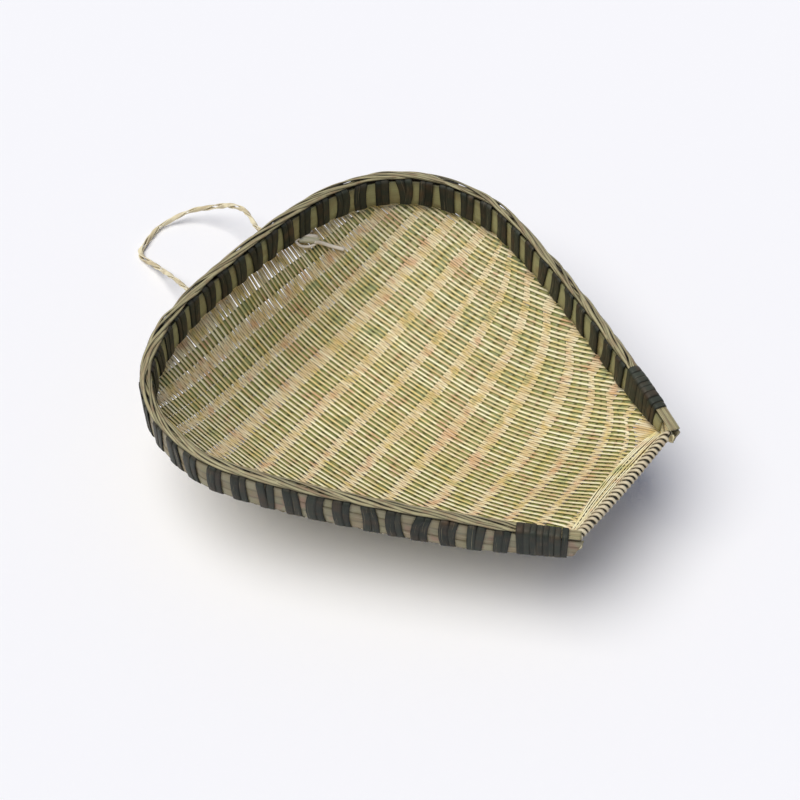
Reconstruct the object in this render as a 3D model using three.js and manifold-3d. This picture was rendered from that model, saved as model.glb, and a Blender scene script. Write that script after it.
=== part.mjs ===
// A scoop-shaped bamboo draining basket: a woven sheet bellied like a shell, its edge held between
// two split-bamboo hoops that are lashed together, and an open mouth with its own bound edge.
// Millimetres, +Z up. The mouth looks along -Y. The origin is on the floor under the middle of
// the basket's length and width.
import * as THREE from "three";
import { mergeVertices } from "three/addons/utils/BufferGeometryUtils.js";
import Module from "manifold-3d";

const wasm = await Module();
wasm.setup();

// Overall sizes, over the lashed rim.
const basketLength = 320;
const basketWidth = 310;
const basketHeight = 100;
// The rim leans forward as the basket rests on its belly: its tips are this much lower than its back.
const tipDrop = 22;
// Between the middles of the rim at its two tips.
const mouthWidth = 105;
// Where the basket is widest, in front of the back of the rim.
const widestFromBack = 98;

// The plan of the rim is four Bezier arcs. These shares set their handles.
const backHandleShare = 0.385; // of the half width
const sideHandleShare = 0.16; // of the run from the widest place to the tip
const tipHandleAcrossShare = 0.32; // of the narrowing towards the tip
const tipHandleAlongShare = 0.235; // of the run from the widest place to the tip

// Woven sheet.
const sheetThickness = 2.4;
const bellyFromBack = 132; // the lowest place, in front of the back of the rim
const restDepth = 0.6; // how far the belly is flattened where it rests
const mouthLipHeight = 68; // middle of the mouth's edge above the floor
const mouthEarRise = 10; // the mouth's edge curls up this much more at its ends
const mouthEarReach = 10; // over this length of sheet
const sheetSetback = 7; // the sheet stops short of the outer hoop's ends
const backBellyPower = 4.5; // how late the belly turns up towards the back
const mouthBellyPower = 2.2; // and towards the mouth
const sideBellyPower = 1.9; // and towards the sides
const uprightBelowHoop = 4; // the sheet stays upright this far under the hoops
const sheetBelowHoopTop = 1.5;

// Stakes: wide strips that run across the sheet in pairs. Between two pairs there are only the thin
// strands, so the sheet is thinner there. The edges of the pairs are shares of the way from the
// mouth's edge to the back of the rim, down the middle of the sheet.
const stakePairEdges = [
  [0.052, 0.098], [0.124, 0.172], [0.198, 0.26], [0.293, 0.358], [0.39, 0.455], [0.486, 0.556],
  [0.584, 0.647], [0.671, 0.741], [0.769, 0.823], [0.853, 0.897], [0.914, 0.947], [0.967, 0.984],
];
const gapRecess = 0.6; // how much lower each face lies between two pairs
const gapEdgeRun = 0.8; // half the length of the step down to it
const stakeBowLeft = 44; // how far a stake is bowed towards the mouth at its left end
const stakeBowRight = 21; // and at its right end
const stakeUpturn = 24; // in the front half the right ends turn back up by this much
const stakeUpturnReach = 23; // within about this distance of the rim

// Hoops, and what binds them.
const hoopHeight = 21;
const hoopThickness = 1.8;
const hoopTaper = 58; // the hoops are pared down towards their ends over this length
const outerHoopTipHeight = 14;
const innerHoopTipHeight = 10;
const hoopEndSlant = 6; // the outer hoop's ends are cut at a slant, longer at the top
const seatGap = 0.3;
const stripThickness = 0.8;

// Three strips that cap the rim.
const capStripCount = 3;
const capStripWidth = 2.3;
const capStripHeight = 2.4;
const capStripGap = 0.4;

// Dark lashings, each of two passes of one strip.
const lashingCount = 48;
const lashingPasses = 2;
const lashingStripWidth = 4.5;
const passGap = 0.5;
const lashingFacet = 10.6; // straight piece of rim under a lashing
const lashingSpreadShare = 0.03; // how much closer than on average they lie at the left tip

// Close-wound bindings near the tips, each with how far the inner hoop's end there stops short
// of the outer hoop's.
const endBindingStripWidth = 4.8;
const endBindingRoom = 1.5; // straight rim beyond the winding
const leftEnd = { turns: 5, fromTip: 13, hoopSetback: 12 };
const rightEnd = { turns: 7, fromTip: 21, hoopSetback: 13 };

// Mouth edge.
const mouthRodRadius = 1.8;
const mouthBindingTurns = 24;
const mouthStripWidth = 2.5;
const mouthStripThickness = 0.7;
const mouthBindingInset = 3.4; // where the strip goes through the sheet, behind its edge
const mouthEndGap = 3; // rod left bare at each end
const slotRoom = 0.35;

// Hanging loop, a limp doubled strip. Its ends go through the back of the sheet under the hoops, and
// one is knotted inside. Between these ends it hangs free, along the route given further down.
const cordDiameter = 3.6;
const cordRoom = 0.4;
const loopEndHeight = 67.5;
const knottedEndX = 58;
const tuckedEndX = -22;
const loopEndRun = 5; // straight run outside the sheet
const loopSteps = 64;
const loopSides = 8;
const knotLength = 17;
const knotWidth = 7.6;
const knotThickness = 3.4;
const knotTailWidth = 3.2;
const knotTailThickness = 0.9;
const knotTailDrops = [0.6, 4.6, 8.8, 12.6]; // places along the tail, below the loop's end
const knotTailRuns = [6, 13.5, 18, 22]; // and to the right of it

const overrun = 5; // how far a cutting tool reaches past what it cuts
const halvings = 40; // steps of a search by halving

// Worked out from these.
const hoopNear = sheetThickness / 2 + seatGap;
const hoopFar = hoopNear + hoopThickness;
const stripMiddle = hoopFar + seatGap + stripThickness / 2;
const rimReach = stripMiddle + stripThickness / 2;
const halfWidth = basketWidth / 2 - rimReach;
const backY = basketLength / 2 - rimReach;
const tipX = mouthWidth / 2;
const capHalfWidth = (capStripCount * capStripWidth + (capStripCount - 1) * capStripGap) / 2;
const tipTurn = Math.atan2(
  (halfWidth - tipX) * tipHandleAcrossShare,
  (basketLength - widestFromBack) * tipHandleAlongShare,
);
const tipY = -basketLength / 2 + capHalfWidth * Math.sin(tipTurn);
const widestY = backY - widestFromBack;
const bellyY = backY - bellyFromBack;
const hoopTop = basketHeight - capStripHeight - seatGap - stripThickness - seatGap;
const lashingPitch = lashingStripWidth + passGap;
const endBindingPitch = endBindingStripWidth + passGap;
const bindingSpan = (turns) => (turns - 1) * endBindingPitch;

// Plan of the rim's middle line, from the left tip round the back to the right tip.
const toTip = widestY - tipY;
const tipHandleX = tipX + (halfWidth - tipX) * tipHandleAcrossShare;
const tipHandleY = tipY + toTip * tipHandleAlongShare;
const rimPath = new THREE.Path();
rimPath.moveTo(-tipX, tipY);
rimPath.bezierCurveTo(
  -tipHandleX, tipHandleY,
  -halfWidth, widestY - toTip * sideHandleShare,
  -halfWidth, widestY,
);
rimPath.bezierCurveTo(
  -halfWidth, backY,
  -halfWidth * backHandleShare, backY,
  0, backY,
);
rimPath.bezierCurveTo(
  halfWidth * backHandleShare, backY,
  halfWidth, backY,
  halfWidth, widestY,
);
rimPath.bezierCurveTo(
  halfWidth, widestY - toTip * sideHandleShare,
  tipHandleX, tipHandleY,
  tipX, tipY,
);
rimPath.arcLengthDivisions = 400;
const rimLength = rimPath.getLength();

// Stations along the rim. The rim is straight under each lashing and under each end binding.
const [leftZone, rightZone] = [leftEnd, rightEnd].map(
  ({ fromTip, turns }) => fromTip + bindingSpan(turns) + endBindingStripWidth + endBindingRoom,
);
const lashingZone = rimLength - leftZone - rightZone;
const stationRuns = [0, sheetSetback, leftEnd.hoopSetback, leftZone];
const lashingStations = [];
for (let i = 0; i < lashingCount; i++) {
  const share = (i + 1 / 2) / lashingCount;
  const middle = leftZone + lashingZone * share * (1 - lashingSpreadShare * (1 - share));
  lashingStations.push(stationRuns.length);
  stationRuns.push(middle - lashingFacet / 2, middle + lashingFacet / 2);
}
for (const run of [rightZone, rightEnd.hoopSetback, sheetSetback, 0]) stationRuns.push(rimLength - run);
const stations = stationRuns.map((run) => rimPath.getPoint(run / rimLength));
const lastStation = stations.length - 1;

const facetNormals = stations.slice(1).map((end, i) => {
  const along = end.clone().sub(stations[i]).normalize();
  return new THREE.Vector2(-along.y, along.x);
});

// A station moved outwards (or inwards, if negative) so that every facet moves by that distance.
function offsetStation(i, distance) {
  const before = facetNormals[Math.max(i - 1, 0)];
  const after = facetNormals[Math.min(i, facetNormals.length - 1)];
  const mitre = before.clone().add(after).divideScalar(1 + before.dot(after));
  return stations[i].clone().addScaledVector(mitre, distance);
}

// The whole rim leans, so a height on it is given as at the back and lowered by its place.
const lean = tipDrop / basketLength;
const leanAt = (y) => -lean * (basketLength / 2 - y);

// Lower edges of the hoops, which are pared down near their ends.
function hoopLowAt(y, tipHeight) {
  const share = THREE.MathUtils.clamp((tipY + hoopTaper - y) / hoopTaper, 0, 1);
  return hoopTop - hoopHeight + (hoopHeight - tipHeight) * share;
}
const innerHoopLow = (y) => hoopLowAt(y, innerHoopTipHeight);
const outerHoopLow = (y) => hoopLowAt(y, outerHoopTipHeight);

// Half width of the rim's middle line at a place along the basket.
const outline = [];
const outlineSteps = 600;
for (let i = 0; i <= outlineSteps; i++) outline.push(rimPath.getPoint((1 + i / outlineSteps) / 2));
function halfWidthAt(y) {
  if (y >= backY) return 0;
  const i = outline.findIndex((point) => point.y < y);
  if (i < 1) return i < 0 ? tipX : outline[0].x;
  const [a, b] = [outline[i - 1], outline[i]];
  return a.x + ((b.x - a.x) * (y - a.y)) / (b.y - a.y);
}

// Middle surface of the woven sheet: a profile down the middle, and a rise to the rim across it.
const lowestMiddle = sheetThickness / 2 - restDepth;
const mouthY = stations[1].y;
function middleProfile(y) {
  if (y > bellyY) {
    const share = Math.min((y - bellyY) / bellyFromBack, 1);
    return lowestMiddle + (innerHoopLow(y) - uprightBelowHoop - lowestMiddle) * share ** backBellyPower;
  }
  const share = (bellyY - y) / (bellyY - mouthY);
  return lowestMiddle + (mouthLipHeight - lowestMiddle) * share ** mouthBellyPower;
}
const sheetEdge = (y) => innerHoopLow(y) - uprightBelowHoop + leanAt(y);
function sheetHeight(x, y) {
  const middle = middleProfile(y);
  const width = halfWidthAt(y);
  const share = width > 0 ? Math.min(Math.abs(x) / width, 1) : 1;
  const ear = Math.max(1 - (y - mouthY) / mouthEarReach, 0) ** 2;
  return middle + (sheetEdge(y) - middle) * share ** sideBellyPower + mouthEarRise * ear * share ** 2;
}
const slopeStep = 0.5;
function sheetNormal(x, y) {
  const acrossSlope = (sheetHeight(x + slopeStep, y) - sheetHeight(x - slopeStep, y)) / (2 * slopeStep);
  const alongSlope = (sheetHeight(x, y + slopeStep) - sheetHeight(x, y - slopeStep)) / (2 * slopeStep);
  return new THREE.Vector3(-acrossSlope, -alongSlope, 1).normalize();
}

// Geometry from a list of points and of faces with three or four corners.
function faceted(points, faces) {
  const index = [];
  for (const face of faces) {
    for (let i = 2; i < face.length; i++) index.push(face[0], face[i - 1], face[i]);
  }
  const geometry = new THREE.BufferGeometry();
  geometry.setAttribute("position", new THREE.Float32BufferAttribute(points.flatMap((p) => p.toArray()), 3));
  geometry.setIndex(index);
  return geometry;
}

// A closed tube through rings of points, each ring with as many corners.
function loft(rings) {
  const sides = rings[0].length;
  const faces = [];
  for (let i = 0; i + 1 < rings.length; i++) {
    for (let j = 0; j < sides; j++) {
      const next = (j + 1) % sides;
      faces.push([i * sides + j, i * sides + next, (i + 1) * sides + next, (i + 1) * sides + j]);
    }
  }
  const first = [...rings[0].keys()];
  faces.push(first.toReversed());
  faces.push(first.map((j) => (rings.length - 1) * sides + j));
  return faceted(rings.flat(), faces);
}

function toSolid(geometry) {
  const bare = new THREE.BufferGeometry();
  bare.setAttribute("position", geometry.getAttribute("position").clone());
  if (geometry.index) bare.setIndex(geometry.index.clone());
  const merged = mergeVertices(bare);
  return new wasm.Manifold(new wasm.Mesh({
    numProp: 3,
    vertProperties: merged.getAttribute("position").array,
    triVerts: new Uint32Array(merged.index.array),
  }));
}

function fromSolid(solid) {
  const { vertProperties, triVerts } = solid.getMesh();
  const geometry = new THREE.BufferGeometry();
  geometry.setAttribute("position", new THREE.BufferAttribute(vertProperties, 3));
  geometry.setIndex(new THREE.BufferAttribute(triVerts, 1));
  return geometry;
}

// The smallest distance between two turns of a winding, between points of their rings that lie
// at least most of a turn apart.
function leastGap(rings, stepsPerTurn) {
  let least = Infinity;
  rings.forEach((ring, i) => {
    for (let j = i + stepsPerTurn - 1; j < rings.length; j++) {
      for (const a of ring) for (const b of rings[j]) least = Math.min(least, a.distanceTo(b));
    }
  });
  return least;
}

// Woven sheet: columns stand round its edge, between the hoops and along the mouth. Where a binding
// strip passes through, a cell between two columns is left open. Inside the foot of the columns the
// sheet is a grid whose rows follow the edges of the stakes.
const footShare = 0.97; // foot of the columns, of the way from the lowest place out to the rim
const gridShare = 0.92; // edge of the grid
const mouthColumnShares = [0.97, 0.8, 0.6, 0.4, 0.2, 0]; // of the way from the middle to a corner
const slotAboveHoopLow = 2;
const mouthFirstRing = 10; // rings of the sheet behind the mouth's edge
const mouthSecondRing = 4;
const gridColumns = 16;

function sheetColumns() {
  const columns = [];
  for (let i = 1; i < lastStation; i++) {
    const { x, y } = stations[i];
    const upright = [
      innerHoopLow(y) - uprightBelowHoop,
      innerHoopLow(y) + slotAboveHoopLow,
      hoopTop - sheetBelowHoopTop,
    ].map((z) => [sheetThickness / 2, -sheetThickness / 2].map((distance) => {
      const at = offsetStation(i, distance);
      return new THREE.Vector3(at.x, at.y, z + leanAt(at.y));
    }));
    columns.push({ foot: new THREE.Vector2(x, y), upright });
  }
  const cornerX = stations[lastStation - 1].x;
  const leftShares = mouthColumnShares.slice(0, -1).toReversed().map((share) => -share);
  for (const share of [...mouthColumnShares, ...leftShares]) {
    const x = cornerX * share;
    const upright = [mouthFirstRing, mouthSecondRing, 0].map((back) => sheetFaces(x, mouthY + back));
    columns.push({ foot: new THREE.Vector2(x, mouthY + mouthFirstRing), upright });
  }
  return columns;
}

// The two faces of the sheet at a place in plan, under it and inside the basket, lower by a recess.
function sheetFaces(x, y, recess = 0) {
  const normal = sheetNormal(x, y);
  const middle = new THREE.Vector3(x, y, sheetHeight(x, y));
  return [-1, 1].map((side) => {
    const point = middle.clone().addScaledVector(normal, side * (sheetThickness / 2 - recess));
    point.z = Math.max(point.z, 0);
    return point;
  });
}

// A value that goes through [share, value] pairs in straight steps.
function between(pairs, share) {
  const i = pairs.findIndex(([at]) => at > share);
  if (i < 1) return pairs[i < 0 ? pairs.length - 1 : 0][1];
  const [[a, low], [b, high]] = [pairs[i - 1], pairs[i]];
  return low + ((high - low) * (share - a)) / (b - a);
}
const bowFadeLeft = [[0, 0.15], [0.185, 0.15], [0.3, 0.95], [0.4, 1], [0.79, 1], [0.96, 0.48]];
const bowFadeRight = [[0.17, 0.38], [0.4, 0.38], [0.59, 0.86], [0.69, 1], [0.85, 1.1]];
const upturnFade = [[0.57, 1], [0.74, 0]];

// How far a line across the sheet lies behind the place where it crosses the middle, further across.
function stakeBow(x, share, y) {
  const across = Math.abs(x) / halfWidth;
  if (x < 0) return -stakeBowLeft * between(bowFadeLeft, share) * across ** 1.7;
  const toRim = Math.max(halfWidthAt(y) - x, 0);
  const upturn = stakeUpturn * between(upturnFade, share) * Math.exp(-toRim / stakeUpturnReach);
  return -stakeBowRight * between(bowFadeRight, share) * across ** 2 + upturn * Math.min(5 * across, 1);
}

// One row of the grid, from rim to rim.
function gridRow({ share, recess, straight }) {
  const start = mouthY + (backY - mouthY) * share;
  const place = (x) => new THREE.Vector2(x, start + (straight ? 0 : stakeBow(x, share, start)));
  const isInside = ({ x, y }) => {
    const outwards = (value, middle) => middle + (value - middle) / gridShare;
    return outwards(y, bellyY) < backY && Math.abs(x) / gridShare < halfWidthAt(outwards(y, bellyY));
  };
  const ends = [-1, 1].map((side) => {
    let [inner, outer] = [0, halfWidth];
    for (let i = 0; i < halvings; i++) {
      const middle = (inner + outer) / 2;
      if (isInside(place(side * middle))) inner = middle;
      else outer = middle;
    }
    return side * inner;
  });
  const row = [];
  for (let j = 0; j <= gridColumns; j++) {
    row.push(place(ends[0] + ((ends[1] - ends[0]) * j) / gridColumns));
  }
  return { row, recess };
}

function gridRows() {
  const run = gapEdgeRun / (backY - mouthY);
  const beforeFirst = stakePairEdges[0][0] - run;
  const rows = [{ share: beforeFirst, recess: 0, straight: true }];
  stakePairEdges.slice(1).forEach(([gapEnd], i) => {
    const gapStart = stakePairEdges[i][1];
    rows.push({ share: gapStart - run, recess: 0 }, { share: gapStart + run, recess: gapRecess });
    rows.push({ share: gapEnd - run, recess: gapRecess }, { share: gapEnd + run, recess: 0 });
  });
  return rows.map(gridRow);
}

// Triangles between two closed lines round the lowest place, as pairs of places in either line.
function zip(outer, inner) {
  const angleOf = ({ x, y }) => Math.atan2(x, y - bellyY);
  const turned = (list) => {
    const angles = list.map(angleOf);
    const first = angles.indexOf(Math.min(...angles));
    return list.map((_, i) => (first + i) % list.length);
  };
  const [outerOrder, innerOrder] = [turned(outer), turned(inner)];
  const angleAt = (list, order, i) => (
    i < order.length ? angleOf(list[order[i]]) : angleOf(list[order[i - order.length]]) + 2 * Math.PI
  );
  const triangles = [];
  let [i, j] = [0, 0];
  while (i < outer.length || j < inner.length) {
    const a = outerOrder[i % outer.length];
    const b = innerOrder[j % inner.length];
    const outerNext = angleAt(outer, outerOrder, i + 1) < angleAt(inner, innerOrder, j + 1);
    if (i < outer.length && (outerNext || j >= inner.length)) {
      triangles.push([["outer", a], ["inner", b], ["outer", outerOrder[(i + 1) % outer.length]]]);
      i++;
    } else {
      triangles.push([["outer", a], ["inner", b], ["inner", innerOrder[(j + 1) % inner.length]]]);
      j++;
    }
  }
  return triangles;
}

function wovenSheet() {
  const columns = sheetColumns();
  const belly = new THREE.Vector2(0, bellyY);
  const points = [];
  const faceOfSheet = [0, 1];
  const keep = (pair) => pair.map((point) => points.push(point) - 1);
  const feet = columns.map(({ foot }) => belly.clone().lerp(foot, footShare));
  const rings = [feet.map(({ x, y }) => keep(sheetFaces(x, y)))];
  for (const level of [0, 1, 2]) rings.push(columns.map(({ upright }) => keep(upright[level])));

  const slotRing = 1;
  const openCells = new Set();
  for (const station of lashingStations) openCells.add(`${slotRing},${station - 1}`);
  for (const column of [1, lastStation - 4]) {
    openCells.add(`${slotRing},${column}`);
    openCells.add(`${slotRing - 1},${column}`);
  }

  const faces = [];
  const count = columns.length;
  for (let c = 0; c < count; c++) {
    const d = (c + 1) % count;
    for (let r = 0; r + 1 < rings.length; r++) {
      const cell = [[r, c], [r, d], [r + 1, d], [r + 1, c]];
      const [under, inside] = faceOfSheet.map((side) => cell.map(([a, b]) => rings[a][b][side]));
      if (!openCells.has(`${r},${c}`)) {
        faces.push(inside, under.toReversed());
        continue;
      }
      const beyond = [[r - 1, c], [r, d], [r + 1, c], [r, (c + count - 1) % count]];
      beyond.forEach(([a, b], k) => {
        if (openCells.has(`${a},${b}`)) return;
        const next = (k + 1) % cell.length;
        faces.push([inside[k], inside[next], under[next], under[k]]);
      });
    }
    const last = rings[rings.length - 1];
    faces.push([last[c][1], last[d][1], last[d][0], last[c][0]]);
  }

  const rows = gridRows();
  const grid = rows.map(({ row, recess }) => row.map(({ x, y }) => keep(sheetFaces(x, y, recess))));
  for (let r = 0; r + 1 < grid.length; r++) {
    for (let j = 0; j < gridColumns; j++) {
      const cell = [[r, j], [r, j + 1], [r + 1, j + 1], [r + 1, j]];
      const [under, inside] = faceOfSheet.map((side) => cell.map(([a, b]) => grid[a][b][side]));
      faces.push(inside, under.toReversed());
    }
  }
  const top = grid.length - 1;
  const edge = [];
  for (let r = 0; r < top; r++) edge.push([r, 0]);
  for (let j = 0; j < gridColumns; j++) edge.push([top, j]);
  for (let r = top; r > 0; r--) edge.push([r, gridColumns]);
  for (let j = gridColumns; j > 0; j--) edge.push([0, j]);
  const plan = { outer: feet, inner: edge.map(([r, j]) => rows[r].row[j]) };
  const corners = { outer: rings[0], inner: edge.map(([r, j]) => grid[r][j]) };
  for (const triangle of zip(plan.outer, plan.inner)) {
    const [under, inside] = faceOfSheet.map((side) => triangle.map(([loop, i]) => corners[loop][i][side]));
    faces.push(inside, under.toReversed());
  }
  return faceted(points, faces);
}

// A strip of box section along the rim between two stations. Its faces are given as distances
// from the rim's middle line and heights at the back of the rim. Its ends may be cut at a slant, by
// the length that its lower edge loses.
function rimStrip(from, to, near, far, low, high, slant = 0) {
  const rings = [];
  for (let i = from; i <= to; i++) {
    const facet = facetNormals[i === to ? i - 1 : i];
    const cut = i === from ? slant : i === to ? -slant : 0;
    rings.push([[near, low], [far, low], [far, high], [near, high]].map(([distance, height]) => {
      const at = offsetStation(i, distance);
      if (height === low) at.add(new THREE.Vector2(facet.y, -facet.x).multiplyScalar(cut));
      const z = typeof height === "function" ? height(at.y) : height;
      return new THREE.Vector3(at.x, at.y, z + leanAt(at.y));
    }));
  }
  return loft(rings);
}

// A flat strip wound round the rim on one of its facets, drawn in straight passes that step
// sideways where they go under the hoops. `middles` is where the first pass lies along the facet.
function woundStrip(facet, firstMiddle, passes, pitch, width, reach, top, stepUpAt) {
  const start = stations[facet];
  const normal = facetNormals[facet];
  const along = new THREE.Vector2(normal.y, -normal.x);
  const half = stripThickness / 2;
  const innerLow = (y) => innerHoopLow(y) - seatGap - half;
  const outerLow = (y) => outerHoopLow(y) - seatGap - half;
  const turn = [
    { distance: -reach, height: innerLow, mitre: [-1, -1] },
    { distance: -reach, height: () => top, mitre: [-1, 1] },
    { distance: reach, height: () => top, mitre: [1, 1] },
    { distance: reach, height: outerLow, mitre: [1, -1] },
  ];
  const sides = turn.length;
  if (stepUpAt !== undefined) {
    turn.push({ distance: stepUpAt, height: outerLow, mitre: [-Math.tan(Math.PI / 8), -1] });
  }
  const rings = [];
  for (let pass = 0; pass < passes; pass++) {
    const middle = firstMiddle + pass * pitch;
    turn.forEach(({ distance, height, mitre }, k) => {
      const isFirst = pass === 0 && k === 0;
      const isLast = pass === passes - 1 && k >= sides - 1;
      if (k >= sides && isLast) return;
      const [across, up] = isFirst ? [-1, 0] : isLast ? [1, 0] : mitre;
      const ring = [[1, -1], [1, 1], [-1, 1], [-1, -1]].map(([side, end]) => {
        const out = distance + side * half * across;
        const at = start.clone().addScaledVector(along, middle + (end * width) / 2);
        at.addScaledVector(normal, out);
        return new THREE.Vector3(at.x, at.y, height(at.y) + side * half * up + leanAt(at.y));
      });
      rings.push(ring);
    });
  }
  return { geometry: loft(rings), gap: leastGap(rings, turn.length) };
}

// Mouth edge: a rod along the edge of the sheet, and a strip wound round both.
const mouthSections = 14;
const mouthRodSides = 8;
const mouthNearCorner = 0.9; // chamfers of the winding's section, by the sheet and round the rod
const mouthFarCorner = 1.4;
function mouthPoint(x, out, up) {
  const fall = sheetHeight(x, mouthY) - sheetHeight(x, mouthY + mouthSecondRing);
  const angle = Math.atan2(fall, mouthSecondRing);
  return new THREE.Vector3(
    x,
    mouthY - out * Math.cos(angle) + up * Math.sin(angle),
    sheetHeight(x, mouthY) + out * Math.sin(angle) + up * Math.cos(angle),
  );
}
const mouthRodMiddle = seatGap + mouthRodRadius;
const mouthRodHalf = stations[lastStation - 1].x * mouthColumnShares[0] - seatGap;

function mouthRod() {
  const rings = [];
  for (let i = 0; i <= mouthSections; i++) {
    const x = mouthRodHalf * ((2 * i) / mouthSections - 1);
    const ring = [];
    for (let j = 0; j < mouthRodSides; j++) {
      const angle = (-2 * Math.PI * (j + 1 / 2)) / mouthRodSides;
      ring.push(mouthPoint(
        x,
        mouthRodMiddle + mouthRodRadius * Math.cos(angle),
        mouthRodRadius * Math.sin(angle),
      ));
    }
    rings.push(ring);
  }
  return loft(rings);
}

function mouthBinding() {
  const half = mouthStripThickness / 2;
  const high = mouthRodRadius + seatGap + half;
  const far = mouthRodMiddle + high;
  const near = -mouthBindingInset;
  const [nearCorner, farCorner] = [mouthNearCorner, mouthFarCorner];
  const diagonal = Math.tan(Math.PI / 8);
  const turn = [
    [near, -high + nearCorner, -1, -diagonal], [near, high - nearCorner, -1, diagonal],
    [near + nearCorner, high, -diagonal, 1], [far - farCorner, high, diagonal, 1],
    [far, high - farCorner, 1, diagonal], [far, -high + farCorner, 1, -diagonal],
    [far - farCorner, -high, diagonal, -1], [near + nearCorner, -high, -diagonal, -1],
  ];
  const steps = mouthBindingTurns * turn.length;
  const room = mouthRodHalf - mouthEndGap - mouthStripWidth / 2;
  const pitch = (2 * room) / mouthBindingTurns;
  const rings = [];
  const slots = [];
  for (let k = 0; k <= steps; k++) {
    const middle = -room + (pitch * k) / turn.length;
    const [out, up, mitreOut, mitreUp] = turn[k % turn.length];
    rings.push([[-1, -1], [-1, 1], [1, 1], [1, -1]].map(([side, end]) => mouthPoint(
      middle + (end * mouthStripWidth) / 2,
      out + side * half * mitreOut,
      up + side * half * mitreUp,
    )));
    if (k % turn.length === 0) slots.push(mouthSlot(middle + pitch / turn.length / 2, pitch / turn.length));
  }
  return { geometry: loft(rings), gap: leastGap(rings, turn.length), slots };
}

// The hole that a turn of the mouth's binding makes between the strands.
function mouthSlot(x, drift) {
  const halfAlong = (mouthStripWidth + drift) / 2 + slotRoom;
  const halfThrough = mouthStripThickness / 2 + slotRoom;
  const height = sheetThickness / 2 + overrun;
  const rings = [-height, height].map((up) => [[-1, 1], [1, 1], [1, -1], [-1, -1]].map(
    ([a, b]) => mouthPoint(x + a * halfAlong, -mouthBindingInset + b * halfThrough, up),
  ));
  return loft(rings);
}

// Hanging loop. A place on the inner face of the sheet's back, at a distance across the basket and
// a height, is found by halving, with the direction into the basket there.
function backWallAt(x, z) {
  let [low, high] = [bellyY, backY];
  for (let i = 0; i < halvings; i++) {
    const y = (low + high) / 2;
    if (halfWidthAt(y) > Math.abs(x) && sheetHeight(x, y) < z) low = y;
    else high = y;
  }
  const inward = sheetNormal(x, low);
  const middle = new THREE.Vector3(x, low, sheetHeight(x, low));
  return { inward, face: middle.addScaledVector(inward, sheetThickness / 2) };
}
const knottedEnd = backWallAt(knottedEndX, loopEndHeight);
const tuckedEnd = backWallAt(tuckedEndX, loopEndHeight);

// From the knotted end round to the tucked one. The loop sags from the sheet to the floor behind it.
const loopRoute = [
  [60, 164, 60.5], [60.4, 175, 57.6], [60.8, 187, 54.5], [63.1, 200.5, 50], [74, 216.6, 43],
  [83.3, 231.3, 37], [88.3, 242.3, 32], [91.1, 253.5, 26.5], [91, 266.6, 20], [85.2, 283.2, 12.5],
  [79.3, 292, 8.5], [72.1, 297.5, 5.5], [64.3, 301.1, 3.4], [55.6, 302.7, 2.4], [38, 298.2, 2.2],
  [28.5, 294.4, 2.2], [24.1, 286.5, 2.4], [20.8, 270.1, 6.5], [17.3, 259, 10.5], [12.2, 245.7, 16],
  [3.8, 225.9, 25], [-5.5, 206.2, 34], [-12, 190, 43], [-17.5, 176, 52.5], [-21, 165, 60],
];

function loopCurve() {
  const out = ({ face, inward }) => face.clone().addScaledVector(inward, -sheetThickness - loopEndRun);
  const points = loopRoute.map((point) => new THREE.Vector3(...point));
  points.unshift(knottedEnd.face.clone(), out(knottedEnd));
  points.push(out(tuckedEnd), tuckedEnd.face.clone());
  return new THREE.CatmullRomCurve3(points);
}

function hangingLoop() {
  const section = new THREE.Shape();
  for (let i = 0; i < loopSides; i++) {
    const angle = (2 * Math.PI * i) / loopSides;
    const at = [(cordDiameter / 2) * Math.cos(angle), (cordDiameter / 2) * Math.sin(angle)];
    if (i) section.lineTo(...at);
    else section.moveTo(...at);
  }
  return new THREE.ExtrudeGeometry(section, { steps: loopSteps, extrudePath: loopCurve() });
}

function loopBore({ face, inward }) {
  const bore = new THREE.CylinderGeometry(
    cordDiameter / 2 + cordRoom, cordDiameter / 2 + cordRoom, sheetThickness + 2 * overrun, loopSides * 2,
  );
  bore.applyQuaternion(new THREE.Quaternion().setFromUnitVectors(new THREE.Vector3(0, 1, 0), inward));
  const middle = face.clone().addScaledVector(inward, -sheetThickness / 2);
  return bore.translate(middle.x, middle.y, middle.z);
}

// The knot lies flat against the sheet over the bore, and its tail runs down the sheet beside it.
function loopKnot() {
  const { face, inward } = knottedEnd;
  const along = new THREE.Vector3(0, 0, 1).cross(inward).negate().normalize();
  const up = inward.clone().cross(along);
  const round = knotWidth / 2;
  const straight = knotLength / 2 - round;
  const outlineOfKnot = new THREE.Shape();
  outlineOfKnot.absarc(straight, 0, round, -Math.PI / 2, Math.PI / 2);
  outlineOfKnot.absarc(-straight, 0, round, Math.PI / 2, (3 * Math.PI) / 2);
  const body = new THREE.ExtrudeGeometry(outlineOfKnot, {
    depth: knotThickness, bevelEnabled: false, curveSegments: loopSides,
  });
  const at = face.clone().addScaledVector(inward, seatGap);
  body.applyMatrix4(new THREE.Matrix4().makeBasis(along, up, inward).setPosition(at));
  const places = knotTailRuns.map((run, i) => {
    const wall = backWallAt(knottedEndX + run, loopEndHeight - knotTailDrops[i]);
    const rise = 2 * seatGap + knotTailThickness / 2;
    return { at: wall.face.addScaledVector(wall.inward, rise), out: wall.inward };
  });
  const rings = places.map(({ at: middle, out }, i) => {
    const ahead = places[Math.min(i + 1, places.length - 1)].at;
    const behind = places[Math.max(i - 1, 0)].at;
    const side = ahead.clone().sub(behind).cross(out).normalize();
    return [[1, 1], [1, -1], [-1, -1], [-1, 1]].map(([a, b]) => middle.clone()
      .addScaledVector(side, (a * knotTailWidth) / 2)
      .addScaledVector(out, (b * knotTailThickness) / 2));
  });
  return fromSolid(toSolid(body).add(toSolid(loft(rings))));
}

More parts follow.
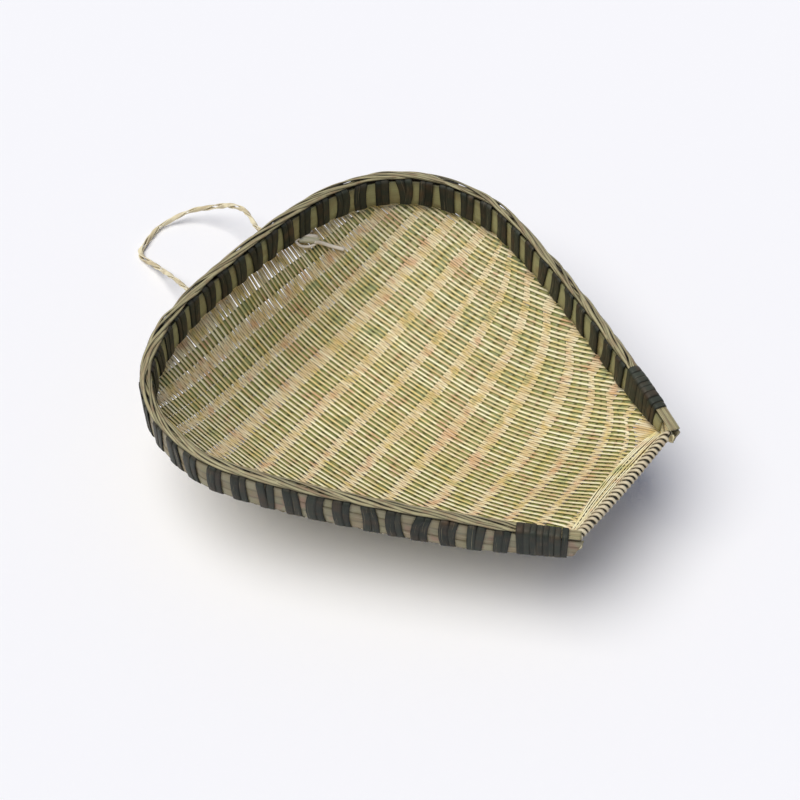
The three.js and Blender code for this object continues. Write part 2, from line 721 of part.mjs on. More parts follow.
// Materials.
const green = new THREE.MeshStandardMaterial({ color: "#a9a362", roughness: 0.62 });
const straw = new THREE.MeshStandardMaterial({ color: "#c9bf86", roughness: 0.6 });
const tan = new THREE.MeshStandardMaterial({ color: "#a89b68", roughness: 0.6 });
const dark = new THREE.MeshStandardMaterial({ color: "#23282a", roughness: 0.45 });
const pale = new THREE.MeshStandardMaterial({ color: "#cfc7a2", roughness: 0.75 });

const basket = new THREE.Group();
function addPiece(name, geometry, material) {
  geometry.computeVertexNormals();
  const mesh = new THREE.Mesh(geometry, material);
  mesh.name = name;
  basket.add(mesh);
}

const binding = mouthBinding();
const cuts = [...binding.slots, loopBore(knottedEnd), loopBore(tuckedEnd)];
const sheet = toSolid(wovenSheet()).subtract(wasm.Manifold.union(cuts.map(toSolid)));
addPiece("woven_sheet", fromSolid(sheet), green);
addPiece(
  "outer_hoop",
  rimStrip(0, lastStation, hoopNear, hoopFar, outerHoopLow, hoopTop, hoopEndSlant), tan,
);
addPiece("inner_hoop", rimStrip(2, lastStation - 2, -hoopFar, -hoopNear, innerHoopLow, hoopTop), tan);

const capLow = basketHeight - capStripHeight;
for (let k = 0; k < capStripCount; k++) {
  const near = -capHalfWidth + k * (capStripWidth + capStripGap);
  const name = ["cap_strip_inner", "cap_strip_middle", "cap_strip_outer"][k];
  addPiece(name, rimStrip(0, lastStation, near, near + capStripWidth, capLow, basketHeight), straw);
}

const windingGaps = [binding.gap];
lashingStations.forEach((station, k) => {
  const facetLength = stations[station].distanceTo(stations[station + 1]);
  const first = facetLength / 2 - ((lashingPasses - 1) * lashingPitch) / 2;
  const lashing = woundStrip(
    station, first, lashingPasses, lashingPitch, lashingStripWidth, stripMiddle,
    hoopTop + seatGap + stripThickness / 2,
  );
  windingGaps.push(lashing.gap);
  addPiece(`lashing_${String(k + 1).padStart(2, "0")}`, lashing.geometry, dark);
});

for (const [name, end, facet] of [
  ["end_binding_left", leftEnd, 2],
  ["end_binding_right", rightEnd, lastStation - 3],
]) {
  const facetLength = stations[facet].distanceTo(stations[facet + 1]);
  const fromHoopEnd = end.fromTip - end.hoopSetback + endBindingStripWidth / 2;
  const first = end === leftEnd ? fromHoopEnd : facetLength - fromHoopEnd - bindingSpan(end.turns);
  const winding = woundStrip(
    facet, first, end.turns, endBindingPitch, endBindingStripWidth,
    capHalfWidth + seatGap + stripThickness / 2, basketHeight + seatGap + stripThickness / 2,
    hoopNear / 2,
  );
  windingGaps.push(winding.gap);
  addPiece(name, winding.geometry, dark);
}

addPiece("mouth_rod", mouthRod(), straw);
addPiece("mouth_binding", binding.geometry, pale);
addPiece("hanging_loop", hangingLoop(), pale);
addPiece("loop_knot", loopKnot(), pale);
console.log(`least gap between two turns of a winding: ${Math.min(...windingGaps).toFixed(2)} mm`);

export default basket;
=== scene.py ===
# %% [markdown]
# # A woven bamboo draining basket
# The basket is a shallow scoop: thin pale strands woven over wide green-skinned stakes, held at the
# edge between two split-bamboo hoops that dark strips lash together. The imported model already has
# every piece as a plain solid in the right place. Here each one gets its real strips and finish, in
# metres and in the same frame, so nothing has to be fitted afterwards.

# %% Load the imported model
import math

import bmesh
import bpy
import numpy as np
from mathutils import Matrix, Vector
from mathutils.geometry import interpolate_bezier


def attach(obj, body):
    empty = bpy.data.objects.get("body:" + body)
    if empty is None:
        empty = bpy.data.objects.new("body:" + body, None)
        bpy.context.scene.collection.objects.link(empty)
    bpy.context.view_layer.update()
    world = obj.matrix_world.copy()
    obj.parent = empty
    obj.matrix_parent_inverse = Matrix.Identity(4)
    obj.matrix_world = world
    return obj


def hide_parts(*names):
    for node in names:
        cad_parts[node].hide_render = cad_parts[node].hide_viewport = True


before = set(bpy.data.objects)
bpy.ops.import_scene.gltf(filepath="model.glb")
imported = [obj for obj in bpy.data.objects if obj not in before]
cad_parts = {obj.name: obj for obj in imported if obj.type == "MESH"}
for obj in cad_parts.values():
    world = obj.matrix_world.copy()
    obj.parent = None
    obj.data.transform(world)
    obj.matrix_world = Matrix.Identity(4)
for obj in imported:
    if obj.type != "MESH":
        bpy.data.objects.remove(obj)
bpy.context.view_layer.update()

MM = 0.001

# %% [markdown]
# ## Camera
# The view is a product photograph's: from the left of the mouth, about half way up the sky, with a
# long lens. The camera comes first, because the free cord is judged by what the camera sees of it.
# Its matrix is built from three unit vectors.

# %% Camera
def in_scene(name, data):
    """A new object of that data, linked to the scene."""
    made = bpy.data.objects.new(name, data)
    bpy.context.scene.collection.objects.link(made)
    return made


azimuth, elevation = math.radians(-52.98), math.radians(48.42)
camera_distance = 1.0995
right = Vector((math.cos(azimuth), math.sin(azimuth), 0))
back = Vector((
    math.sin(azimuth) * math.cos(elevation),
    -math.cos(azimuth) * math.cos(elevation),
    math.sin(elevation),
))
camera_data = bpy.data.cameras.new("camera")
camera_data.angle = math.radians(28)
camera_data.shift_x, camera_data.shift_y = -0.0307, 0.0612
camera = in_scene("camera", camera_data)
turn = Matrix((right, back.cross(right), back)).transposed().to_4x4()
camera.matrix_world = Matrix.Translation(back * camera_distance) @ turn
bpy.context.scene.camera = camera
print("camera at, m:", [round(c, 3) for c in camera.location])

# %% [markdown]
# ## Strips of bamboo
# Nearly everything here is a flat strip that follows a line. A strip is a grid of quads laid along
# that line: rows go along it, columns across it, and Solidify gives it its thickness. One helper
# makes the grid with create_grid and moves its vertices; the UV map keeps the distance along and
# across the strip in metres, so that grain can follow it. Three numbers go with each vertex for the
# material: "tone" sets one strip apart from the next, "side" runs from -1 to 1 across a strip, and
# the third, painted shade, is 1 where a strip lies low between the stakes, where its colour is
# painted browner and darker as shade.

# %% Directions and lengths
def unit(vectors):
    """The same directions, each of length 1."""
    return vectors / np.maximum(np.linalg.norm(vectors, axis=-1, keepdims=True), 1e-9)


def run_along(points):
    """The distance along a line at each of its points."""
    steps = np.linalg.norm(np.diff(points, axis=0), axis=-1)
    return np.concatenate([[0], np.cumsum(steps)])


# %% A strip as a grid
def new_mesh():
    """An empty mesh, with the layers that each strip in it fills."""
    bm = bmesh.new()
    bm.loops.layers.uv.new("strip")
    for name in ("tone", "side", "painted_shade"):
        bm.verts.layers.float.new(name)
    numbers = bm.verts.layers.float
    return bm, bm.loops.layers.uv["strip"], numbers["tone"], numbers["side"], numbers["painted_shade"]


def add_grid(mesh, points, tone=0.5, painted_shade=0.0):
    """Adds a grid through rows x columns of points in mm."""
    bm, uv_layer, tone_layer, side_layer, painted_shade_layer = mesh
    rows, columns = points.shape[:2]
    painted_shade = np.broadcast_to(painted_shade, rows)
    along = run_along(points[:, columns // 2])
    across = run_along(points[rows // 2])
    across = across - across[-1] / 2
    made = bmesh.ops.create_grid(bm, x_segments=rows - 1, y_segments=columns - 1, size=0.5)
    for vert in made["verts"]:
        row = round((vert.co.x + 0.5) * (rows - 1))
        column = round((vert.co.y + 0.5) * (columns - 1))
        vert.co = points[row, column] * MM
        vert[tone_layer] = tone
        vert[side_layer] = 2 * column / (columns - 1) - 1
        vert[painted_shade_layer] = painted_shade[row]
        for loop in vert.link_loops:
            loop[uv_layer].uv = (along[row] * MM, across[column] * MM)


# %% A strip along a line
def ribbon(points, normals, width, crown=0.0, columns=2):
    """The points of a strip that follows a line, with its face towards normals. crown is its bulge."""
    tangents = unit(np.gradient(points, axis=0))
    normals = unit(normals - tangents * np.sum(normals * tangents, axis=1, keepdims=True))
    sides = np.cross(normals, tangents)
    share = np.linspace(-0.5, 0.5, columns + 1)
    width = np.broadcast_to(width, len(points))
    return (
        points[:, None]
        + sides[:, None] * (share[None, :] * width[:, None])[..., None]
        + normals[:, None] * (crown * (1 - 4 * share**2))[None, :, None]
    )


# %% A finished piece
rounded_from = math.radians(50)


def finish_piece(mesh, name, material, nodes, thickness=0.0, bevel=0.0, weld=False):
    """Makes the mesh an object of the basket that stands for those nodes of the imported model."""
    bm = mesh[0]
    if weld:
        bmesh.ops.remove_doubles(bm, verts=bm.verts, dist=1e-6)
    data = bpy.data.meshes.new(name)
    bm.to_mesh(data)
    bm.free()
    data.polygons.foreach_set("use_smooth", [True] * len(data.polygons))
    piece = in_scene(name, data)
    data.materials.append(material)
    if thickness:
        solidify = piece.modifiers.new("thickness", "SOLIDIFY")
        solidify.thickness = thickness * MM
        solidify.offset = 0
    if bevel:
        rounding = piece.modifiers.new("rounded edges", "BEVEL")
        rounding.width = bevel * MM
        rounding.segments = 2
        rounding.limit_method = "ANGLE"
        rounding.angle_limit = rounded_from
    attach(piece, "root")
    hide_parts(*nodes)
    return piece


# %% [markdown]
# ## Finishes
# All of it is bamboo, but not the same bamboo. Skin is green and waxy; the wood inside is straw
# coloured with long fibres; strips smoked or dyed dark are nearly black with brown edges. One
# function makes each finish from its colours. Fibres are noise stretched along the strip, blotches
# are soft noise on each strip, and the edges are painted darker: partly the split wood's own colour,
# partly painted shade for the dark lines between strips. Where a strip lies low between the stakes
# it is painted browner, as shade. Strips that lie side by side come from the same cane, so patches of
# colour run across several of them: these are noise on Object coordinates, which doesn't care where
# one strip ends. Scratches take the highest ridges of the fibre noise, so they are fine lines along
# the strip.

# %% Colours and nodes
def linear(hex_colour):
    """An sRGB hex colour as linear numbers."""
    parts = [int(hex_colour[i:i + 2], 16) / 255 for i in (1, 3, 5)]
    return [c / 12.92 if c <= 0.04045 else ((c + 0.055) / 1.055) ** 2.4 for c in parts] + [1]


def set_inputs(node, **inputs):
    """Sets a node's inputs. Each is a value, or the socket that is linked to it."""
    for key, value in inputs.items():
        socket = node.inputs[int(key[1:])] if key[1:].isdigit() else node.inputs[key.replace("_", " ")]
        if isinstance(value, bpy.types.NodeSocket):
            node.id_data.links.new(value, socket)
        else:
            socket.default_value = value


def add_node(tree, kind, settings=(), **inputs):
    """Adds a node, and gives its outputs."""
    node = tree.nodes.new(kind)
    for key, value in dict(settings).items():
        setattr(node, key, value)
    set_inputs(node, **inputs)
    return node.outputs


# %% Noise and tints along a strip
# Real fibres run the length of a strip. These are drawn short enough to show their ends.
fibre_slimness = 60
blotches_across = 40
depth_per_tone = 97.0
grain_share, painted_shade_share = 0.55, 0.36


def strip_noise(tree, strip, depth, per_metre, **settings):
    """Noise on the strip's own coordinates, with so many grains per metre along and across it."""
    place = add_node(
        tree, "ShaderNodeVectorMath", {"operation": "MULTIPLY_ADD"},
        _0=strip, _1=(*per_metre, 0), _2=depth,
    )[0]
    return add_node(tree, "ShaderNodeTexNoise", Vector=place, Scale=1.0, **settings)["Fac"]


def tinted(tree, colour, tint, value, start, full, share):
    """The colour with a tint over it: none where value is at start, a share of it from full on."""
    amount = add_node(
        tree, "ShaderNodeMapRange", Value=value, From_Min=start, From_Max=full, To_Min=0.0, To_Max=share,
    )[0]
    return add_node(
        tree, "ShaderNodeMix", {"data_type": "RGBA"}, _0=amount, _6=colour, _7=linear(tint),
    )[2]


# %% A finish of split bamboo
def bamboo_finish(
    name, light, deep, blotch, edge, roughness, fibre=0.35, blotch_length=18, blotch_share=0.45,
    tone_share=0.5, relief=0.06, edge_share=0.5, edge_from=0.5, patches=(), patch_size=13, scratches=(),
    gloss=0.5, painted_shade_tint=None,
):
    """A finish of split bamboo. fibre, blotch_length, relief and patch_size are in mm.

    patches and scratches are (tint, where in its noise it starts, where it is full, share). gloss is
    the specular level, and the last tint is painted shade, laid on the wood where a strip lies low.
    """
    material = bpy.data.materials.new(name)
    material.use_nodes = True
    tree = material.node_tree
    shader = tree.nodes["Principled BSDF"]
    set_inputs(shader, Roughness=roughness, IOR=1.5, Specular_IOR_Level=gloss)
    strip = add_node(tree, "ShaderNodeUVMap", {"uv_map": "strip"})["UV"]
    tone = add_node(tree, "ShaderNodeAttribute", {"attribute_name": "tone"})["Fac"]
    # Each strip reads its noise at its own depth, so that no two strips are alike.
    depth = add_node(tree, "ShaderNodeCombineXYZ", Z=add_node(
        tree, "ShaderNodeMath", {"operation": "MULTIPLY"}, _0=tone, _1=depth_per_tone,
    )[0])[0]
    fibres = (1 / (fibre_slimness * MM * fibre), 1 / (fibre * MM))
    fibre_noise = strip_noise(tree, strip, depth, fibres, Detail=3.0, Roughness=0.6)
    blotches = (1 / (blotch_length * MM), blotches_across)
    blotch_noise = strip_noise(tree, strip, depth, blotches, Detail=2.0)
    grain = add_node(
        tree, "ShaderNodeMapRange", Value=fibre_noise, From_Min=0.3, From_Max=0.7,
    )[0]
    spread = add_node(
        tree, "ShaderNodeMath", {"operation": "MULTIPLY_ADD"}, _0=tone, _1=tone_share, _2=-tone_share / 2,
    )[0]
    shade = add_node(
        tree, "ShaderNodeMath", {"operation": "MULTIPLY_ADD", "use_clamp": True},
        _0=grain, _1=grain_share, _2=spread,
    )[0]
    wood = add_node(
        tree, "ShaderNodeMix", {"data_type": "RGBA"}, _0=shade, _6=linear(light), _7=linear(deep),
    )[2]
    colour = tinted(tree, wood, blotch, blotch_noise, 0.45, 0.72, blotch_share)
    place = add_node(tree, "ShaderNodeTexCoord")["Object"]
    patch_noise = add_node(
        tree, "ShaderNodeTexNoise", Vector=place, Scale=1 / (patch_size * MM), Detail=2.0,
    )["Fac"]
    for noise, tints in ((patch_noise, patches), (fibre_noise, scratches)):
        for tint, start, full, share in tints:
            colour = tinted(tree, colour, tint, noise, start, full, share)
    # Painted shade: the wood is browner and darker where a strip lies low between the stakes.
    if painted_shade_tint:
        painted_shade = add_node(tree, "ShaderNodeAttribute", {"attribute_name": "painted_shade"})["Fac"]
        colour = tinted(tree, colour, painted_shade_tint, painted_shade, 0.0, 1.0, painted_shade_share)
    # The edges take the edge tint: partly the split wood's own colour, partly painted shade for the dark
    # lines between strips.
    side = add_node(tree, "ShaderNodeAttribute", {"attribute_name": "side"})["Fac"]
    from_middle = add_node(tree, "ShaderNodeMath", {"operation": "ABSOLUTE"}, _0=side)[0]
    colour = tinted(tree, colour, edge, from_middle, edge_from, 1.0, edge_share)
    bump = add_node(tree, "ShaderNodeBump", Strength=1.0, Distance=relief * MM, Height=fibre_noise)[0]
    set_inputs(shader, Base_Color=colour, Normal=bump)
    print("finish:", name)
    return material


# %% Finishes of the weave
# Split wood is matt and straw coloured, with pinkish and greenish patches from cane to cane.
# Its dark edges are partly painted shade, for the dark lines between strands.
strand_wood = bamboo_finish(
    "split bamboo, pale wood", "#fff8d0", "#dac586", "#c99862", "#473d20", 0.5, blotch_share=0.3,
    # The last tint here is painted shade, browner where a strand lies low in the gaps.
    edge_share=0.88, edge_from=0.6, tone_share=1.0, painted_shade_tint="#bd8d5e",
    patches=[("#d99c72", 0.57, 0.68, 0.5), ("#e6cb62", 0.47, 0.37, 0.5), ("#a8b480", 0.38, 0.28, 0.7)],
)
# Green skin has a waxy sheen and fine, close fibres.
stake_skin = bamboo_finish(
    "bamboo skin, olive green", "#979c58", "#5f6735", "#ab9656", "#434423", 0.4,
    patches=[("#a39a5e", 0.52, 0.68, 0.6), ("#7b875a", 0.44, 0.32, 0.6)],
)

# %% Finishes of the rim
# Hoops are thick cane: greyish tan, with long grain and reddish scars.
hoop_skin = bamboo_finish(
    "split bamboo hoop, grey tan", "#989172", "#5f5a42", "#8f6248", "#453f2b", 0.5, fibre=0.7,
    relief=0.16, patches=[("#7c7444", 0.52, 0.7, 0.5), ("#96705e", 0.42, 0.34, 0.55)],
    scratches=[("#cbbfa0", 0.62, 0.72, 0.8), ("#3f3a28", 0.36, 0.27, 0.7)],
)
# The inner hoop is one cane with its skin inwards: darker, browner green and smoother.
inner_skin = bamboo_finish(
    "split bamboo hoop, brown green", "#adac7c", "#717149", "#7b5a3e", "#3f3e27", 0.42, fibre=0.6,
    blotch_share=0.35, relief=0.1, patches=[("#8a7650", 0.54, 0.7, 0.6)],
    scratches=[("#cdc69c", 0.64, 0.74, 0.6)],
)
# The strips of the cap are thin skin, greyed by handling, with pale scratches. Their edges are
# painted dark: partly their own colour, partly painted shade between the strips.
cap_skin = bamboo_finish(
    "bamboo cap strips, grey green", "#a8a078", "#615c40", "#7a5039", "#2b2819", 0.5, edge_share=0.9,
    blotch_length=9, tone_share=0.85, blotch_share=0.6, fibre=0.45, relief=0.12,
    scratches=[("#d9d0aa", 0.62, 0.72, 0.7)],
)
# Smoked skin is nearly black and a little glossy, brown where it is scraped.
dark_skin = bamboo_finish(
    "smoked bamboo skin", "#30352c", "#10150f", "#513a29", "#12130f", 0.5, fibre=0.5, gloss=0.25,
    tone_share=0.9, relief=0.16, edge_share=0.6, blotch_length=8,
    patches=[("#5e4833", 0.64, 0.72, 0.5)], patch_size=20, scratches=[("#93896c", 0.62, 0.7, 0.8)],
)

# %% Finishes of the mouth and the loop
# The inside of the cane is pith: pale, dull and without grain that shows.
pale_wood = bamboo_finish("bamboo pith strip, pale", "#e6dbbb", "#b8a67f", "#9c7a60", "#6f5c3c", 0.6)
# Straw is twisted dry, so it has split along its edges, which show pale.
twist_wood = bamboo_finish(
    "twisted straw strip", "#eadfbb", "#ab976c", "#856a50", "#f1e8c9", 0.7, blotch_length=8,
    tone_share=0.8,
)
# The knot is the same straw, pressed smooth, with a green face where it is folded.
knot_wood = bamboo_finish(
    "folded straw strip", "#fdf3e2", "#a3aa78", "#b59878", "#8d8560", 0.55, blotch_share=0.15,
    tone_share=1.2,
)

# %% [markdown]
# ## The rim's line
# Every shape follows the rim. Its plan is four Bezier arcs, the same as in the solid model: from the
# left tip round the back to the right tip. The whole rim leans forward, because the basket rests on
# its belly. Points on it are found by the run along it, the distance out from it, and a height.

# %% The rim's line
half_width, back_y, widest_y = 150.6, 155.6, 57.6
tip = Vector((52.5, -158.0145))
# Shares that set the arcs' handles: of the half width, of the run to the tip and of the narrowing.
back_handle, side_handle = 0.385, 0.16
tip_handle_across, tip_handle_along = 0.32, 0.235
arc_points = 300
to_tip = widest_y - tip.y
tip_handle = (tip.x + (half_width - tip.x) * tip_handle_across, tip.y + to_tip * tip_handle_along)
side_arcs = [
    [(0, back_y), (half_width * back_handle, back_y), (half_width, back_y), (half_width, widest_y)],
    [(half_width, widest_y), (half_width, widest_y - to_tip * side_handle), tip_handle, tip],
]
right_half = np.array([p for arc in side_arcs for p in interpolate_bezier(*arc, arc_points)])
right_half = np.delete(right_half, arc_points, axis=0)
rim_line = np.vstack([right_half[:0:-1] * (-1, 1), right_half])
rim_run = run_along(rim_line)
rim_length = rim_run[-1]
print("rim length, mm:", round(rim_length, 2))

# %% Places along the rim
basket_length, tip_drop = 320, 22


def lean(y):
    """How much lower the rim is at y than at the very back."""
    return -tip_drop / basket_length * (basket_length / 2 - y)


def rim_plan(run):
    """The place in plan at a run along the rim."""
    return np.stack([np.interp(run, rim_run, rim_line[:, k]) for k in (0, 1)], axis=-1)


def rim_outward(run):
    """The direction in plan that points out of the basket there."""
    ahead = unit(rim_plan(np.add(run, 1.0)) - rim_plan(np.subtract(run, 1.0)))
    return np.stack([-ahead[..., 1], ahead[..., 0]], axis=-1)


def rim_inward(run):
    """The level direction in space that points into the basket there."""
    return np.concatenate([-rim_outward(run), np.zeros((len(run), 1))], axis=1)


def rim_point(run, out, height):
    """Points at a run along the rim, a distance out from it and a height as at its back."""
    run, out, height = np.broadcast_arrays(run, out, height)
    plan = rim_plan(run) + rim_outward(run) * out[..., None]
    return np.concatenate([plan, (height + lean(plan[..., 1]))[..., None]], axis=-1)


# %% The lower edges of the hoops
hoop_top, hoop_height = 96.2, 21
pared_length, inner_tip_height, outer_tip_height = 58, 10, 14


def hoop_low(y, tip_height):
    """The lower edge of a hoop, which is pared down to tip_height near its ends."""
    pared = np.clip((tip.y + pared_length - y) / pared_length, 0, 1)
    return hoop_top - hoop_height + (hoop_height - tip_height) * pared


def inner_low(y):
    return hoop_low(y, inner_tip_height)


def outer_low(y):
    return hoop_low(y, outer_tip_height)


print("lower edges of the hoops at the tips, mm:", [float(low(tip.y)) for low in (inner_low, outer_low)])

# %% [markdown]
# ## The bellied surface
# The sheet sags to the floor in its middle and rises to the hoops at its edge and to the mouth in
# front. A weave can be draped by simulation, but this one is stiff, and it holds the shape it was
# woven in. So the height is a formula, the one that the solid model uses.

# %% The bellied surface
belly_y, belly_height = 23.6, 0.6
sheet_setback, mouth_height = 7.0, 68
mouth_y = rim_plan(sheet_setback)[1]
# At its ends the mouth's edge curls up this much more, over this length of sheet.
ear_rise, ear_reach = 10, 10
upright_below_hoop = 4
# How late the belly turns up towards the back, the mouth and the sides.
back_power, mouth_power, side_power = 4.5, 2.2, 1.9


def half_width_at(y):
    """Half the rim's width at y."""
    return np.where(y >= back_y, 0, np.interp(-np.asarray(y), -right_half[:, 1], right_half[:, 0]))


def sheet_height(x, y):
    x, y = np.asarray(x, float), np.asarray(y, float)
    edge = inner_low(y) - upright_below_hoop
    behind = np.clip((y - belly_y) / (back_y - belly_y), 0, 1) ** back_power
    before = np.clip((belly_y - y) / (belly_y - mouth_y), 0, None) ** mouth_power
    middle = belly_height + np.where(
        y > belly_y, (edge - belly_height) * behind, (mouth_height - belly_height) * before,
    )
    share = np.minimum(np.abs(x) / np.maximum(half_width_at(y), 1e-6), 1)
    ear = np.clip(1 - (y - mouth_y) / ear_reach, 0, None) ** 2
    return middle + (edge + lean(y) - middle) * share**side_power + ear_rise * ear * share**2


def sheet_normal(x, y, step=0.5):
    across = (sheet_height(x + step, y) - sheet_height(x - step, y)) / (2 * step)
    along = (sheet_height(x, y + step) - sheet_height(x, y - step)) / (2 * step)
    return unit(np.stack([-across, -along, np.ones_like(across)], axis=-1))


def sheet_point(x, y):
    return np.stack([x, y, sheet_height(x, y)], axis=-1)


print("mouth edge at y, mm:", round(float(mouth_y), 2))

# %% Lines of the weave
# Shares of the way up between the hoops where a line has its points, and how far along the rim it
# may run for each mm that it climbs.
climb_shares = np.array([0.06, 0.2, 0.45, 0.92])
longest_drift = 2.5
sheet_top = hoop_top - 2


def climb(end, before):
    """From where a line of the weave meets the rim, on up between the hoops."""
    run = rim_run[np.argmin(np.linalg.norm(rim_line - end, axis=1))]
    outward = rim_outward(run)
    ahead = np.array([outward[1], -outward[0]])
    heading = unit(end - before)
    drift = np.clip(heading @ ahead / max(heading @ outward, 0.15), -longest_drift, longest_drift)
    low = inner_low(end[1]) - upright_below_hoop
    rise = (sheet_top - low) * climb_shares
    runs = np.clip(run + rise * drift, 1, rim_length - 1)
    return rim_point(runs, 0, low + rise), rim_inward(runs)


def laid(x, y):
    """A line in plan, ordered, as points and normals on the sheet and up between the hoops."""
    kept = np.flatnonzero((np.abs(x) < half_width_at(y) - 0.2) & (y > mouth_y + 1))
    if len(kept) < 4:
        return None
    x, y = x[kept[0]:kept[-1] + 1], y[kept[0]:kept[-1] + 1]
    points, normals = sheet_point(x, y), sheet_normal(x, y)
    plan = np.stack([x, y], axis=-1)
    for _ in range(2):
        # Turned round each time, so that both ends are seen to as the last one.
        points, normals, plan = points[::-1], normals[::-1], plan[::-1]
        if plan[-1, 1] < mouth_y + 3 and abs(plan[-1, 0]) < half_width_at(plan[-1, 1]) - 1:
            continue
        up_points, up_normals = climb(plan[-1], plan[-2])
        points, normals = np.vstack([points, up_points]), np.vstack([normals, up_normals])
    return points, normals


def even(points, count, *others):
    """The same line in count even steps, and whatever goes with it."""
    run = run_along(points)
    at = np.linspace(0, run[-1], count)
    return [np.stack([np.interp(at, run, a[:, k]) for k in range(a.shape[1])], axis=-1)
            for a in (points, *others)]

# %% [markdown]
# ## The hanging loop
# A strip of straw, doubled and loosely twisted, leaves the sheet under the hoops, sags to the floor
# behind the basket and comes back in. It is a limp cord, so it follows the route of the solid one.
# Two strips are wound round that route, half a turn apart.

# %% The hanging loop
route_mm = [
    [58, 150.2, 67.5], [58.9, 157.3, 63.9],
    [60, 164, 60.5], [60.4, 175, 57.6], [60.8, 187, 54.5], [63.1, 200.5, 50], [74, 216.6, 43],
    [83.3, 231.3, 37], [88.3, 242.3, 32], [91.1, 253.5, 26.5], [91, 266.6, 20], [85.2, 283.2, 12.5],
    [79.3, 292, 8.5], [72.1, 297.5, 5.5], [64.3, 301.1, 3.4], [55.6, 302.7, 2.4], [38, 298.2, 2.2],
    [28.5, 294.4, 2.2], [24.1, 286.5, 2.4], [20.8, 270.1, 6.5], [17.3, 259, 10.5], [12.2, 245.7, 16],
    [3.8, 225.9, 25], [-5.5, 206.2, 34], [-12, 190, 43], [-17.5, 176, 52.5], [-21, 165, 60],
    [-21.6, 158.6, 64], [-22, 152.6, 67.5],
]
print("points of the route:", len(route_mm))


# %% The loop's line
def smooth_line(points, steps=8):
    """A smooth line through points: a Bezier arc between each two, with handles from their neighbours."""
    points = [Vector(p) for p in points]
    ends = [points[0] * 2 - points[1], *points, points[-1] * 2 - points[-2]]
    line = []
    for a, b, c, d in zip(ends, ends[1:], ends[2:], ends[3:]):
        line += interpolate_bezier(b, b + (c - a) / 6, c - (d - b) / 6, c, steps + 1)[:-1]
    return np.array([*line, points[-1]])


loop_line = smooth_line(route_mm)
loop_line, = even(loop_line, 320)

# %% Two twisted strips
twist_pitch, straw_widths, straw_thickness = 52, (3.3, 2.8), 0.7
lowest_straw = 0.5
ahead = unit(np.gradient(loop_line, axis=0))
level = unit(np.cross(ahead, [0, 0, 1]))
upward = np.cross(level, ahead)
loop_mesh = new_mesh()
for strip, width in enumerate(straw_widths):
    angle = 2 * np.pi * (run_along(loop_line) / twist_pitch + strip / len(straw_widths))
    aside = level * np.cos(angle)[:, None] + upward * np.sin(angle)[:, None]
    # The two open and close a little along the loop, as a loose twist does.
    apart = 0.85 + 0.35 * np.sin(run_along(loop_line) / 17 + strip)
    grid = ribbon(loop_line + aside * apart[:, None], aside, width, crown=0.25, columns=4)
    grid[..., 2] = np.maximum(grid[..., 2], lowest_straw)
    add_grid(loop_mesh, grid, tone=0.15 + 0.65 * strip)
loop = finish_piece(loop_mesh, "straw_loop", twist_wood, ["hanging_loop"], straw_thickness)
print("loop triangles before its thickness:", 2 * len(loop.data.polygons))

# %% [markdown]
# ## Floor and light
# A plain pale floor catches the shadow. The photograph's light is one large soft window high on the
# left, so that the shadow falls to the right of the mouth with a blurred edge. A wide sun gives it,
# and the world fills the shadow. Both together light a level surface at about 1, so that colours
# render as they are written. Seen past the floor's edge, in a low view or in a gloss, the world is
# a pale backdrop instead: Light Path tells such rays from those that light the basket.

# %% Floor
backdrop_white = linear("#f8f8fa")
floor_data = bpy.data.meshes.new("floor")
bm = bmesh.new()
bmesh.ops.create_grid(bm, x_segments=1, y_segments=1, size=6)
bm.to_mesh(floor_data)
bm.free()
floor = in_scene("floor", floor_data)
floor_paint = bpy.data.materials.new("matt white sweep")
floor_paint.use_nodes = True
floor_shader = floor_paint.node_tree.nodes["Principled BSDF"]
set_inputs(floor_shader, Base_Color=backdrop_white, Roughness=0.9, Specular_IOR_Level=0.1)
floor_data.materials.append(floor_paint)
print("floor, m:", [round(size, 1) for size in floor.dimensions])

# %% World
world = bpy.data.worlds.new("studio")
bpy.context.scene.world = world
world.use_nodes = True
sky_tree = world.node_tree
sky_strength = 0.305
sky = sky_tree.nodes["Background"]
set_inputs(sky, Color=linear("#cfdbff"), Strength=sky_strength)
backdrop = add_node(sky_tree, "ShaderNodeBackground", Color=backdrop_white, Strength=1.0)[0]
ray = add_node(sky_tree, "ShaderNodeLightPath")
seen = ray["Is Camera Ray"]
for other in ("Is Glossy Ray", "Is Transmission Ray"):
    seen = add_node(sky_tree, "ShaderNodeMath", {"operation": "MAXIMUM"}, _0=seen, _1=ray[other])[0]
mixed = add_node(sky_tree, "ShaderNodeMixShader", _0=seen, _1=sky.outputs[0], _2=backdrop)[0]
set_inputs(sky_tree.nodes["World Output"], Surface=mixed)
print("fill light:", sky_strength)

# %% Sun
sun_data = bpy.data.lights.new("window", "SUN")
sun_data.energy = 2.70
sun_data.angle = math.radians(56)
sun_data.color = (1.0, 0.967, 0.893)
sun = in_scene("window", sun_data)
sun_from = Vector((-0.297, 0.200, 0.934))
sun.matrix_world = sun_from.to_track_quat("Z", "Y").to_matrix().to_4x4()
bpy.context.scene.view_settings.view_transform = "Standard"
print("sun from:", [round(c, 2) for c in sun_from.normalized()])

# %% [markdown]
# ## Stakes
# The stakes run across the basket: wide strips with their green skin up, in pairs about 20 mm wide
# with a gap between the pairs. They were bent as they were woven in, so each follows a bowed line
# that dips towards the rim. Each is a grid that takes its height from the bellied surface, and its
# ends go up between the hoops.

# %% Where stakes lie
# The edges of each pair on the middle line of the basket, from the back to the mouth.
stake_edges = [
    (150.6, 145.6), (139.3, 129), (124, 110.5), (101, 84.5), (76, 54.5), (47, 27.5), (19, -2.5),
    (-12, -32), (-42, -62), (-72, -91), (-99, -114), (-122, -136), (-140.5, -147.5),
]
# In front the right ends turn to the back by up to this much, mostly this close to the rim.
stake_upturn, upturn_reach = 24, 23


